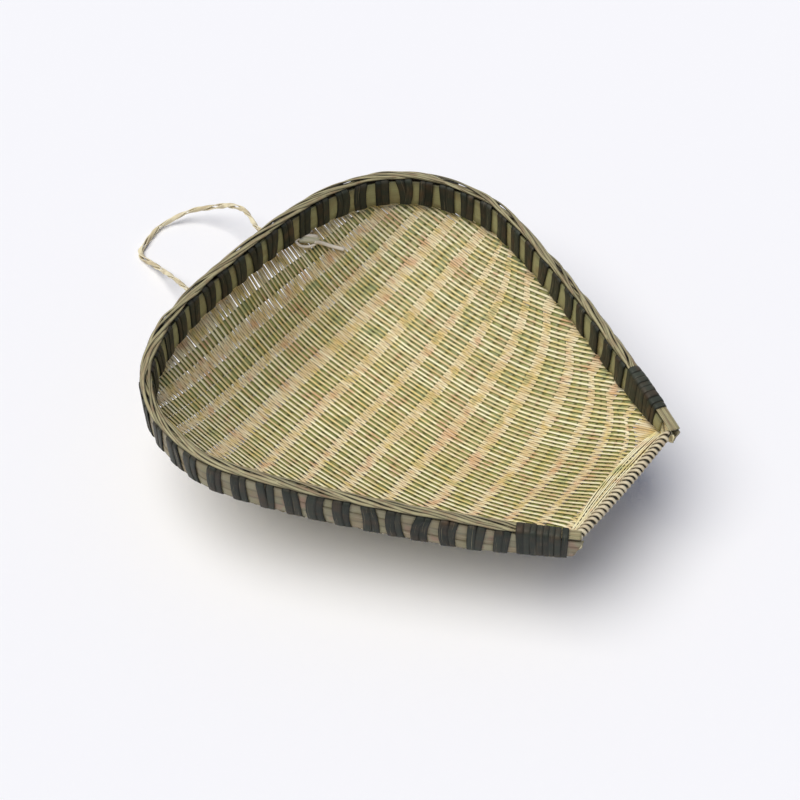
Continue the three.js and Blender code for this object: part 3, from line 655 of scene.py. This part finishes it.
def bow(x, y):
    """How far a stake that crosses the middle at y lies from there, further across."""
    left = np.interp(y, [-150, -95, -60, -30, 90, 142], [5, 6, 13, 13.5, 13.5, 6.5])
    right = np.interp(y, [-100, -30, 30, 60, 110], [2, 2, 4.5, 5.2, 5.8])
    upturn = stake_upturn * np.clip((75 - y) / 50, 0, 1)
    to_rim = np.clip(half_width_at(y) - x, 0, None)
    return np.where(
        x < 0, -left * (np.abs(x) / 75) ** 1.7,
        -right * (x / 75) ** 2 + upturn * np.exp(-to_rim / upturn_reach) * np.clip(x / 30, 0, 1),
    )


def stake_place(x, y):
    """Where the stake at that place crosses the middle of the basket."""
    place = np.array(y, float)
    for _ in range(6):
        place = y - bow(x, place)
    return place


print("places of stakes:", len(stake_edges))

# %% Stakes
# A place narrower than this holds one stake, and the others hold two, this much apart.
single_stake, stake_parting = 9, 0.16
stake_rows, stake_thickness = 110, 0.6


def add_stake(mesh, high, low, tone, columns=3):
    """Adds the stake whose edges cross the middle of the basket at high and low."""
    x = np.linspace(-152, 152, 609)
    lines = []
    for share in np.linspace(0, 1, columns + 1):
        start = low + (high - low) * share
        line = laid(x, start + bow(x, start))
        if line is None:
            return
        lines.append(even(line[0], stake_rows)[0])
    add_grid(mesh, np.stack(lines, axis=1), tone)


rng = np.random.RandomState(11)
stake_mesh = new_mesh()
stakes_laid = 0
for high, low in stake_edges:
    halves = 2 if high - low > single_stake else 1
    cuts = np.linspace(high, low, halves + 1)
    for a, b in zip(cuts, cuts[1:]):
        add_stake(stake_mesh, a - stake_parting / 2, b + stake_parting / 2, rng.uniform(0.1, 0.9))
    stakes_laid += halves
finish_piece(stake_mesh, "stakes", stake_skin, ["woven_sheet"], stake_thickness)
print("stakes:", stakes_laid)

# %% [markdown]
# ## Strands
# Thin strips of pale wood run from the mouth to the back. Each goes over one pair of stakes and
# under the next, and its neighbour does the opposite, so over a pair every second strand shows as
# a pale ridge with green between, and in the gaps all of them show. Modelling each strand gives
# the ridges, the holes beside the stakes and the slits of light that a bump texture can't.

# %% Over and under
strand_thickness, strand_lift, strand_crown = 0.5, 0.7, 0.38
# How far apart the strands lie, by where they cross the middle of the basket, from left to right.
pitch_places = [-150, -120, -80, -60, -40, -20, 0, 20, 40, 80, 120, 150]
pitches = [1.4, 1.75, 1.95, 2.1, 2.05, 1.95, 1.7, 1.6, 1.45, 1.4, 1.3, 1.15]
last_gap = 7
turn_power = 1.6
edge_knots = np.array(sorted(edge for pair in stake_edges for edge in pair))
edge_values = np.repeat([(-1) ** k for k in range(len(stake_edges))], 2)
# Past the first and the last pair the strands come back to one level.
edge_knots = np.concatenate([[edge_knots[0] - last_gap], edge_knots, [edge_knots[-1] + last_gap]])
edge_values = np.concatenate([[0], edge_values, [0]])


def over_under(x, y):
    """1 where an even strand lies over a pair of stakes, -1 where it lies under one."""
    level = np.interp(stake_place(x, y), edge_knots, edge_values)
    return np.sign(level) * np.abs(level) ** turn_power


print("over and under at the middle:", over_under(0.0, np.array([-120.0, -90.0, -60.0])).round(2))

# %% How strands lean
strand_lean, back_lean, back_lean_from = 0.09, 0.00275, 70
fan_spread, fan_half, fan_from = 0.0013, 80, -20


def strand_drift(y):
    """The strands lean to the right going back, and to the left on the back wall."""
    return strand_lean * y - back_lean * np.clip(y - back_lean_from, 0, None) ** 2


def strand_fan(base, y):
    """Towards the mouth the strands at the right spread outwards, to the hoop."""
    return fan_spread * np.clip(base / fan_half, 0, 1) ** 2 * np.clip(fan_from - y, 0, None) ** 2


print("drift of a strand at the back, mm:", round(float(strand_drift(back_y)), 1))

# %% One strand
strand_step = 2.9
greatest_steepness = 3


def add_strand(mesh, base, pitch, number):
    """Adds the strand that crosses the middle of the basket at base, if it meets the sheet."""
    y = np.arange(mouth_y, back_y, 0.5)
    # Strands wander a little, and more on the back wall, where they part and leave slits of light.
    loose = 0.15 + 0.4 * np.clip((y - 100) / 50, 0, 1) ** 1.5
    x = base + strand_drift(y) + loose * rng.normal(0, 0.5) + 0.12 * np.sin(y / rng.uniform(9, 16) + number)
    line = laid(x + strand_fan(base, y), y)
    if line is None:
        return False
    rows = max(8, int(run_along(line[0])[-1] / strand_step))
    points, normals = even(line[0], rows, line[1])
    normals = unit(normals)
    up = np.where(np.abs(points[:, 0]) < half_width_at(points[:, 1]) - 0.3, 1.0, 0.0)
    turning = over_under(points[:, 0], points[:, 1])
    lift = strand_lift * (-1) ** number * turning * up + rng.uniform(-0.08, 0.08)
    points = points + normals * lift[:, None]
    points[:, 2] = np.maximum(points[:, 2], strand_thickness / 2 + 0.05)
    slope = sheet_height(points[:, 0] + 0.5, points[:, 1]) - sheet_height(points[:, 0] - 0.5, points[:, 1])
    # Up the side walls the strands lie further apart. Between the hoops they keep their last width.
    on_sheet = np.flatnonzero(up)
    steepness = np.sqrt(1 + np.minimum(slope**2, greatest_steepness))
    steepness *= 1 + strand_fan(base + 1, points[:, 1]) - strand_fan(base, points[:, 1])
    stretch = np.interp(np.arange(len(points)), on_sheet, steepness[on_sheet])
    # Where strands part to go over and under, the real ones press together and leave no wide hole.
    closing = 0.14 * np.sin(np.pi * np.abs(turning))
    width = pitch * stretch * (0.96 + closing) * rng.uniform(0.9, 1.08)
    grid = ribbon(points, normals, width, strand_crown, columns=4)
    # Painted shade: browner where the strand lies low in a gap between stakes.
    add_grid(mesh, grid, rng.uniform(0, 1), painted_shade=up * (1 - np.abs(turning)))
    return True


# %% All strands
furthest_base = 170.0
bases = [-furthest_base]
while bases[-1] < furthest_base:
    bases.append(bases[-1] + float(np.interp(bases[-1], pitch_places, pitches)))
groups = np.array_split(np.arange(len(bases)), 4)
laid_strands = 0
for label, group in zip(("left", "middle_left", "middle_right", "right"), groups):
    strand_mesh = new_mesh()
    for number in group:
        pitch = float(np.interp(bases[number], pitch_places, pitches))
        laid_strands += add_strand(strand_mesh, bases[number], pitch, int(number))
    finish_piece(
        strand_mesh, "strands_" + label, strand_wood, ["woven_sheet"], strand_thickness,
    )
print("strands:", laid_strands)

# %% [markdown]
# ## Strands folded up at the sides
# At both sides the strands run level with the rim. The outermost pass outside it in plan, and lie
# folded up between the hoops, where they close the gaps between the stakes. They lean as the rest
# do, and the further one passes outside the rim, the higher it lies.

# %% Strands folded up at the sides
folded_strands, folded_pitch, folded_width = 5, 1.3, 1.65
first_beyond = 0.4
rise_per_mm, greatest_rise = 1.25, 9
folded_rng = np.random.RandomState(5)
side_y = np.arange(-30, 136, 2.0)
half_run = run_along(right_half)
folded_mesh = new_mesh()
for side_sign in (-1, 1):
    inside = half_width_at(side_y) - side_sign * strand_drift(side_y)
    for number in range(folded_strands):
        rise = rise_per_mm * (inside.max() + first_beyond + folded_pitch * number - inside)
        y, rise = side_y[rise < greatest_rise], rise[rise < greatest_rise]
        run = rim_length / 2 + side_sign * np.interp(-y, -right_half[:, 1], half_run)
        turning = over_under(side_sign * half_width_at(y), y)
        lift = strand_lift * (-1) ** number * turning
        points = rim_point(run, -lift, inner_low(y) - upright_below_hoop + rise)
        width = folded_width * folded_rng.uniform(0.9, 1.08)
        grid = ribbon(points, rim_inward(run), width, strand_crown, columns=4)
        # Painted shade: browner where the folded strand lies low between stakes.
        add_grid(folded_mesh, grid, folded_rng.uniform(0, 1), painted_shade=1 - np.abs(turning))
finish_piece(folded_mesh, "strands_edge", strand_wood, ["woven_sheet"], strand_thickness)
print("strands folded up at each side:", folded_strands)

# %% [markdown]
# ## Strips at the mouth
# Beside the bound edge thinner strips run across. They lie close together at both corners and
# spread in between to a lens 13 mm wide, in three bunches with a dark line between.

# %% Strips at the mouth
mouth_strip_mesh = new_mesh()
mouth_strips, bunch_of, mouth_rows = 9, 3, 70
first_strip_y = -150.6
corner_breadth, lens_swell = 2.5, 10.3
for number in range(mouth_strips):
    x = np.linspace(-62, 72, 269)
    lens = corner_breadth + lens_swell * np.sin(np.pi * np.clip((x + 75) / 160, 0, 1) ** 1.3)
    bunch = number + 0.5 * (number // bunch_of)
    y = first_strip_y + lens * bunch / mouth_strips + 0.25 * np.sin(x / 17 + 1.7 * number)
    line = laid(x, y)
    points, normals = even(line[0], mouth_rows, line[1])
    normals = unit(normals)
    above = 1.25 + 0.2 * np.sin(np.arange(mouth_rows) / 4 + 2.4 * number)
    points = points + normals * above[:, None]
    spacing = np.interp(points[:, 0], x, lens) / mouth_strips
    width = np.clip(spacing * 1.02, 0.8, 1.6)
    add_grid(mouth_strip_mesh, ribbon(points, normals, width, crown=0.3), rng.uniform(0, 1))
finish_piece(
    mouth_strip_mesh, "mouth_strips", strand_wood, ["woven_sheet"], strand_thickness,
)
print("mouth strips:", mouth_strips)

# %% [markdown]
# ## Hoops
# Two hoops are bent to the same horseshoe, one inside the sheet's edge and one outside. The outer
# one is a band of three split canes, one above the other, so lines run along it; the inner one is
# a single cane. They swell a little between the lashings that draw them in. Their ends are pared
# down, and the outer one is cut at a slant.

# %% Places of the lashings
left_zone, right_zone, lashing_count = 40.5, 59.1, 48
# At the left tip they lie this share closer than on average, and at the right as much wider.
closer_share = 0.03
lashing_zone = rim_length - left_zone - right_zone
lashing_share = (np.arange(lashing_count) + 0.5) / lashing_count
lashing_runs = left_zone + lashing_zone * lashing_share * (1 - closer_share * (1 - lashing_share))
print("lashings apart, mm:", np.diff(lashing_runs)[[0, -1]].round(2))

# %% Hoops
hoop_out, cane_thickness, cane_rounding, hoop_swell = 2.4, 1.7, 0.35, 0.5
cane_tones = (0.35, 0.75, 0.15)
# Where each cane starts and ends, as shares of the hoop's height from its top.
three_canes = [(0.0, 0.36), (0.33, 0.69), (0.66, 1.0)]
one_cane = [(0.0, 1.0)]


def add_hoop(mesh, canes, out, start, end, top, low, slant):
    """Adds the canes of a hoop from one run to another, with ends cut at a slant of so many mm."""
    runs = np.linspace(start, end, 480)
    from_end = np.minimum(runs - start, end - runs)
    pull = slant * np.exp(-from_end / 3) * np.where(runs < (start + end) / 2, 1, -1)
    to_lashing = np.abs(runs[:, None] - lashing_runs[None, :]).min(axis=1)
    swell = hoop_swell * np.clip((to_lashing - 2) / 4, 0, 1)
    for number, (upper, lower) in enumerate(canes):
        grid = []
        for share in np.linspace(upper, lower, 5):
            at = runs + pull * share
            height = top + (low(rim_plan(at)[:, 1]) - top) * share
            ripple = (0.3 * np.sin(at / 23 + out) + 0.15 * np.sin(at / 7.3 + number)) * share
            bend = 0.22 * np.sin(at / 27 + 2.1 * number) + swell * math.sin(math.pi * share)
            grid.append(rim_point(at, out + math.copysign(1, out) * bend, height + ripple))
        add_grid(mesh, np.stack(grid, axis=1), cane_tones[number])


for name, skin, *shape in (
    ("outer_hoop", hoop_skin, three_canes, hoop_out, 0, rim_length, hoop_top, outer_low, 6),
    ("inner_hoop", inner_skin, one_cane, -hoop_out, 12, rim_length - 13, hoop_top - 1.4, inner_low, 1.5),
):
    hoop_mesh = new_mesh()
    add_hoop(hoop_mesh, *shape)
    finish_piece(
        hoop_mesh, name + "_bamboo", skin, [name],
        thickness=cane_thickness, bevel=cane_rounding,
    )
    print(name, "canes:", len(shape[0]))

# %% [markdown]
# ## Lashings
# Dark strips tie the hoops together every 16 mm: twice round the rim, through the sheet under the
# hoops, where both passes share one hole, so they draw together there. A pass is a closed strip
# round a rounded loop, a little slanted and never quite like the next.

# %% A pass round the rim
dark_thickness, dark_crown = 0.7, 0.22
# The strips turn in under the hoops this far below them.
under_hoop = 0.7


def rim_loop(reach, top, low_in, low_out, radius=2.2):
    """A rounded loop round the rim's section, as distances out and heights, with normals."""
    corners = [(-reach, low_in, 180), (-reach, top, 90), (reach, top, 0), (reach, low_out, -90)]
    places, normals = [], []
    for out, height, turned in corners:
        for step in (0, 30, 60, 90):
            angle = math.radians(turned + 90 - step)
            normal = (math.cos(angle), math.sin(angle))
            centre = (out - math.copysign(radius, out), height + (radius if height < 90 else -radius))
            places.append((centre[0] + radius * normal[0], centre[1] + radius * normal[1]))
            normals.append(normal)
        if turned in (180, 0):
            other = top if turned == 180 else low_out
            for share in (0.33, 0.67):
                places.append((out, height + (other - height) * share))
                normals.append((math.copysign(1, out), 0))
    places, normals = np.array(places), np.array(normals)
    return np.vstack([places, places[:1]]), np.vstack([normals, normals[:1]])


def add_pass(mesh, middle, offset, width, reach, top, slant, pinch, tone, bend=0.0):
    """One pass of a strip round the rim at a run along it, which may lean and bend sideways."""
    y = float(rim_plan(middle)[1])
    low_in, low_out = float(inner_low(y)) - under_hoop, float(outer_low(y)) - under_hoop
    places, normals = rim_loop(reach, top, low_in, low_out)
    share = np.clip((places[:, 1] - min(low_in, low_out)) / (top - min(low_in, low_out)), 0, 1)
    gather = pinch + (1 - pinch) * np.sqrt(share)
    runs = middle + offset * gather + slant * (share - 0.5) + 4 * bend * share * (1 - share)
    points = rim_point(runs, places[:, 0], places[:, 1])
    outward = rim_outward(runs)
    face = np.concatenate([outward * normals[:, :1], normals[:, 1:]], axis=1)
    grid = ribbon(points, face, width * (0.6 + 0.4 * gather), dark_crown, columns=4)
    grid[0] = grid[-1] = (grid[0] + grid[-1]) / 2
    add_grid(mesh, grid, tone)


# %% Lashings
pass_offset, lashing_reach, lashing_over = 2.3, 4.0, 0.6
for k, middle in enumerate(lashing_runs):
    lash_mesh = new_mesh()
    slant = rng.normal(0.6, 1.2)
    gather = rng.uniform(0.6, 1.0)
    bend = rng.normal(0.6, 0.7)
    for passing, offset in enumerate((-pass_offset, pass_offset)):
        add_pass(
            lash_mesh, middle + rng.normal(0, 0.3), offset, rng.uniform(5.0, 6.2),
            lashing_reach + 0.3 * passing, hoop_top + lashing_over + 0.25 * passing,
            slant + rng.normal(0, 1.1), gather, rng.uniform(0, 1), bend,
        )
    finish_piece(
        lash_mesh, f"dark_lashing_{k + 1:02d}", dark_skin, [f"lashing_{k + 1:02d}"],
        thickness=dark_thickness, weld=True,
    )
print("lashings:", lashing_count)

# %% [markdown]
# ## End bindings
# Near each tip the same dark strip is wound close, turn against turn, over hoops and cap together.

# %% End bindings
# They go over the cap at this height, which is as at the back of the rim.
binding_top, binding_turns = 99.55, 8
for name, start, end in (("left", 9.5, 39), ("right", rim_length - 57.6, rim_length - 21)):
    binding_mesh = new_mesh()
    pitch = (end - start) / binding_turns
    for turn_number in range(binding_turns):
        add_pass(
            binding_mesh, start + pitch * (turn_number + 0.5) + rng.normal(0, 0.25), 0,
            pitch * rng.uniform(0.95, 1.3), lashing_reach + rng.uniform(-0.15, 0.3),
            binding_top + rng.uniform(-0.1, 0.2), rng.normal(0.6, 0.7), 1.0, rng.uniform(0, 1),
        )
    finish_piece(
        binding_mesh, "dark_binding_" + name, dark_skin, ["end_binding_" + name],
        thickness=dark_thickness, weld=True,
    )
    print(name, "binding: pitch, mm:", round(pitch, 2))

# %% [markdown]
# ## Cap
# Eight thin strips lie on top of the rim and are laid round each other with a long twist, like a
# slack rope pressed flat. They hide the cut edges of the sheet and the hoops. Under the bindings
# they lie side by side, and go on so to the tips.

# %% How the cap strips lie
cap_twist, cap_count, cap_breadth = 112, 8, 6.0
cap_end = 1.5
cap_runs = np.linspace(cap_end, rim_length - cap_end, 620)
# They are pressed flat up to here at the left and from here at the right, and loosen over 12 mm.
press_left, press_right, press_over = 36, rim_length - 54, 12


def soft_step(value):
    """From 0 to 1 with a soft start and end."""
    value = np.clip(value, 0, 1)
    return value * value * (3 - 2 * value)


def slow_noise(runs, spacing, amount):
    """Smooth noise along the rim: random values every so many mm, joined by soft steps."""
    places = runs / spacing
    values = rng.normal(0, amount, int(places.max()) + 2)
    whole = places.astype(int)
    return values[whole] + (values[whole + 1] - values[whole]) * soft_step(places - whole)


def pressed_place(strip, run):
    """How far out a strip lies where the twist has been pressed flat at that run."""
    order = np.argsort(np.cos(2 * np.pi * (run / cap_twist + np.arange(cap_count) / cap_count)))
    return cap_breadth * (np.flatnonzero(order == strip)[0] / (cap_count - 1) - 0.5)


print("strip 1 at the left lies out by, mm:", round(float(pressed_place(0, press_left)), 2))

# %% Cap strips
cap_nodes = ["cap_strip_inner", "cap_strip_middle", "cap_strip_outer"]
cap_level, cap_thickness = 98.1, 0.7
for strip in range(cap_count):
    angle = 2 * np.pi * (cap_runs / cap_twist + strip / cap_count) + slow_noise(cap_runs, 42, 0.42)
    at_left = soft_step((press_left + press_over - cap_runs) / press_over)
    at_right = soft_step((cap_runs - press_right + press_over) / press_over)
    free = 1 - at_left - at_right
    out = free * (2.8 * np.cos(angle) + slow_noise(cap_runs, 13, 0.32))
    out = out + at_left * pressed_place(strip, press_left) + at_right * pressed_place(strip, press_right)
    height = cap_level + free * (0.55 + 0.85 * np.sin(angle)) + 0.12 * (strip % 2)
    face = np.concatenate(
        [rim_outward(cap_runs) * (0.6 * free * np.cos(angle))[:, None], np.ones((len(angle), 1))], axis=1,
    )
    width = 0.95 + free * np.clip(0.95 + slow_noise(cap_runs, 19, 0.35), 0.2, 1.6)
    cap_mesh = new_mesh()
    add_grid(cap_mesh, ribbon(rim_point(cap_runs, out, height), face, width, crown=0.25), 0.37 * strip % 1)
    node = cap_nodes[strip * len(cap_nodes) // cap_count]
    finish_piece(
        cap_mesh, f"cap_strand_{strip + 1}", cap_skin, [node], thickness=cap_thickness,
    )
print("cap strips:", cap_count)

# %% [markdown]
# ## The bound edge of the mouth
# A thin rod with the dark finish lies along the edge of the mouth, and a pale strip is wound round
# the rod and the edge of the sheet; the dark rod shows in the gaps between its turns. The rod is a
# round grid closed on itself, the winding a strip along a flat spiral.

# %% The rod
def mouth_point(x, out, up, step=4):
    """A point beside the mouth's edge: out from it and up from the sheet there, in mm."""
    x, out, up = np.broadcast_arrays(x, out, up)
    fall = sheet_height(x, mouth_y) - sheet_height(x, mouth_y + step)
    angle = np.arctan2(fall, step)
    return np.stack([
        x,
        mouth_y - out * np.cos(angle) + up * np.sin(angle),
        sheet_height(x, mouth_y) + out * np.sin(angle) + up * np.cos(angle),
    ], axis=-1)


rod_half, rod_radius, rod_out = 54.1, 1.8, 2.1
# The rod's ends are thinner, over their last few mm.
thinner_share, thinner_from, thinner_over = 0.25, 50, 4
rod_mesh = new_mesh()
around = np.linspace(0, -2 * np.pi, 13)
rod_x = np.linspace(-rod_half, rod_half, 40)
thinner = thinner_share * np.clip((np.abs(rod_x) - thinner_from) / thinner_over, 0, 1)
thick = rod_radius * (1 - thinner)
add_grid(rod_mesh, mouth_point(
    rod_x[:, None], rod_out + thick[:, None] * np.cos(around), thick[:, None] * np.sin(around),
), 0.4)
bmesh.ops.remove_doubles(rod_mesh[0], verts=rod_mesh[0].verts, dist=1e-6)
bmesh.ops.holes_fill(rod_mesh[0], edges=rod_mesh[0].edges, sides=20)
bmesh.ops.recalc_face_normals(rod_mesh[0], faces=rod_mesh[0].faces)
finish_piece(rod_mesh, "mouth_edge_rod", dark_skin, ["mouth_rod"])
print("rod length, mm:", 2 * rod_half)

# %% The winding
turns, steps_per_turn, bare_end = 25, 16, 3
# A turn goes round the rod and the sheet's edge. These are its middle, half its depth, half its
# height, and how round it is, where 1 is an ellipse.
ring_middle, ring_reach, ring_height, ring_power = 0.575, 3.975, 2.45, 0.7
wound = np.arange(turns * steps_per_turn + 1) / steps_per_turn
angle = -2 * np.pi * wound
half = rod_half - bare_end
wound_x = half * (2 * wound / turns - 1) + 0.35 * np.sin(1.7 * wound) * np.sin(0.41 * wound)
ring = np.stack([np.cos(angle), np.sin(angle)], axis=1)
squared = np.sign(ring) * np.abs(ring) ** ring_power
points = mouth_point(wound_x, ring_middle + ring_reach * squared[:, 0], ring_height * squared[:, 1])
centre = mouth_point(wound_x, np.full_like(wound_x, ring_middle), 0)
winding_width = 2.35 + 0.22 * np.sin(1.1 * wound + 1)
winding_mesh = new_mesh()
add_grid(winding_mesh, ribbon(points, points - centre, winding_width, crown=0.2), 0.5)
finish_piece(
    winding_mesh, "mouth_winding", pale_wood, ["mouth_binding"], thickness=0.6,
)
print("mouth turns:", turns)

# %% [markdown]
# ## Knot
# One end of the loop comes through the sheet and is tied: a flat fold with a second strip slipped
# round it, and a tail that lies down the wall. A pale strip along the top of the fold is a painted
# highlight.

# %% A place on the back wall
halvings, strands_proud = 40, 1.2


def wall_point(x, height):
    """The inner face of the sheet's back wall at a place across and a height, with its normal."""
    low, high = belly_y, back_y
    for _ in range(halvings):
        y = (low + high) / 2
        if half_width_at(y) > abs(x) and sheet_height(x, y) < height:
            low = y
        else:
            high = y
    normal = sheet_normal(np.array([x]), np.array([low]))[0]
    return np.array([x, low, float(sheet_height(x, low))]) + normal * strands_proud, normal


knot_x, knot_height = 58, 67.5
print("the loop comes through at, mm:", wall_point(knot_x, knot_height)[0].round(1))

# %% Knot
# Each path: how far along the wall, up it and off it, in mm, with the strip's width, crown and tone.
knot_paths = {
    "fold": ([(-4.4, 3.6, 1.6), (-1, 2.3, 2.8), (3.2, 0.2, 3.4), (7.0, -2.0, 3.0), (8.6, -3.2, 1.8)],
             5.6, 1.1, 0.7),
    # A pale strip along the fold's top: a painted highlight on its lit upper edge.
    "painted_highlight": ([(-4.0, 5.4, 2.2), (-0.6, 4.3, 3.6), (3.6, 2.3, 4.2), (7.6, 0.2, 3.6), (9.2, -1.2, 2.2)],
            2.2, 0.5, 0.05),
    "bight": ([(8.7, 6.5, 0.9), (2.5, 7.4, 1.6), (-3.4, 6.8, 2.2), (-7.2, 5.2, 2.5), (-8.2, 3.0, 2.6),
               (-6.6, 0.2, 2.6), (-2.6, -2.4, 2.6), (2.2, -3.8, 2.8), (7.1, -3.4, 3.0)], 1.7, 0.4, 0.05),
    "tail": ([(4.6, -2.2, 4.0), (8.2, -4.4, 3.0), (11.2, -6.5, 2.0), (15.7, -10.1, 1.3),
              (19.5, -12.8, 1.0), (22.7, -15.1, 1.0)], 2.6, 0.5, 0.1),
}
knot_mesh = new_mesh()
for path, width, crown, tone in knot_paths.values():
    places, faces = [], []
    for along, up, off in path:
        foot, normal = wall_point(knot_x + along, knot_height + up)
        places.append(foot + normal * off)
        faces.append(normal)
    line = smooth_line(places, 6)
    face = smooth_line(faces, 6)
    add_grid(knot_mesh, ribbon(line, face, width, crown, columns=6), tone)
finish_piece(knot_mesh, "straw_knot", knot_wood, ["loop_knot"], thickness=0.8)
print("strips of the knot:", ", ".join(knot_paths))
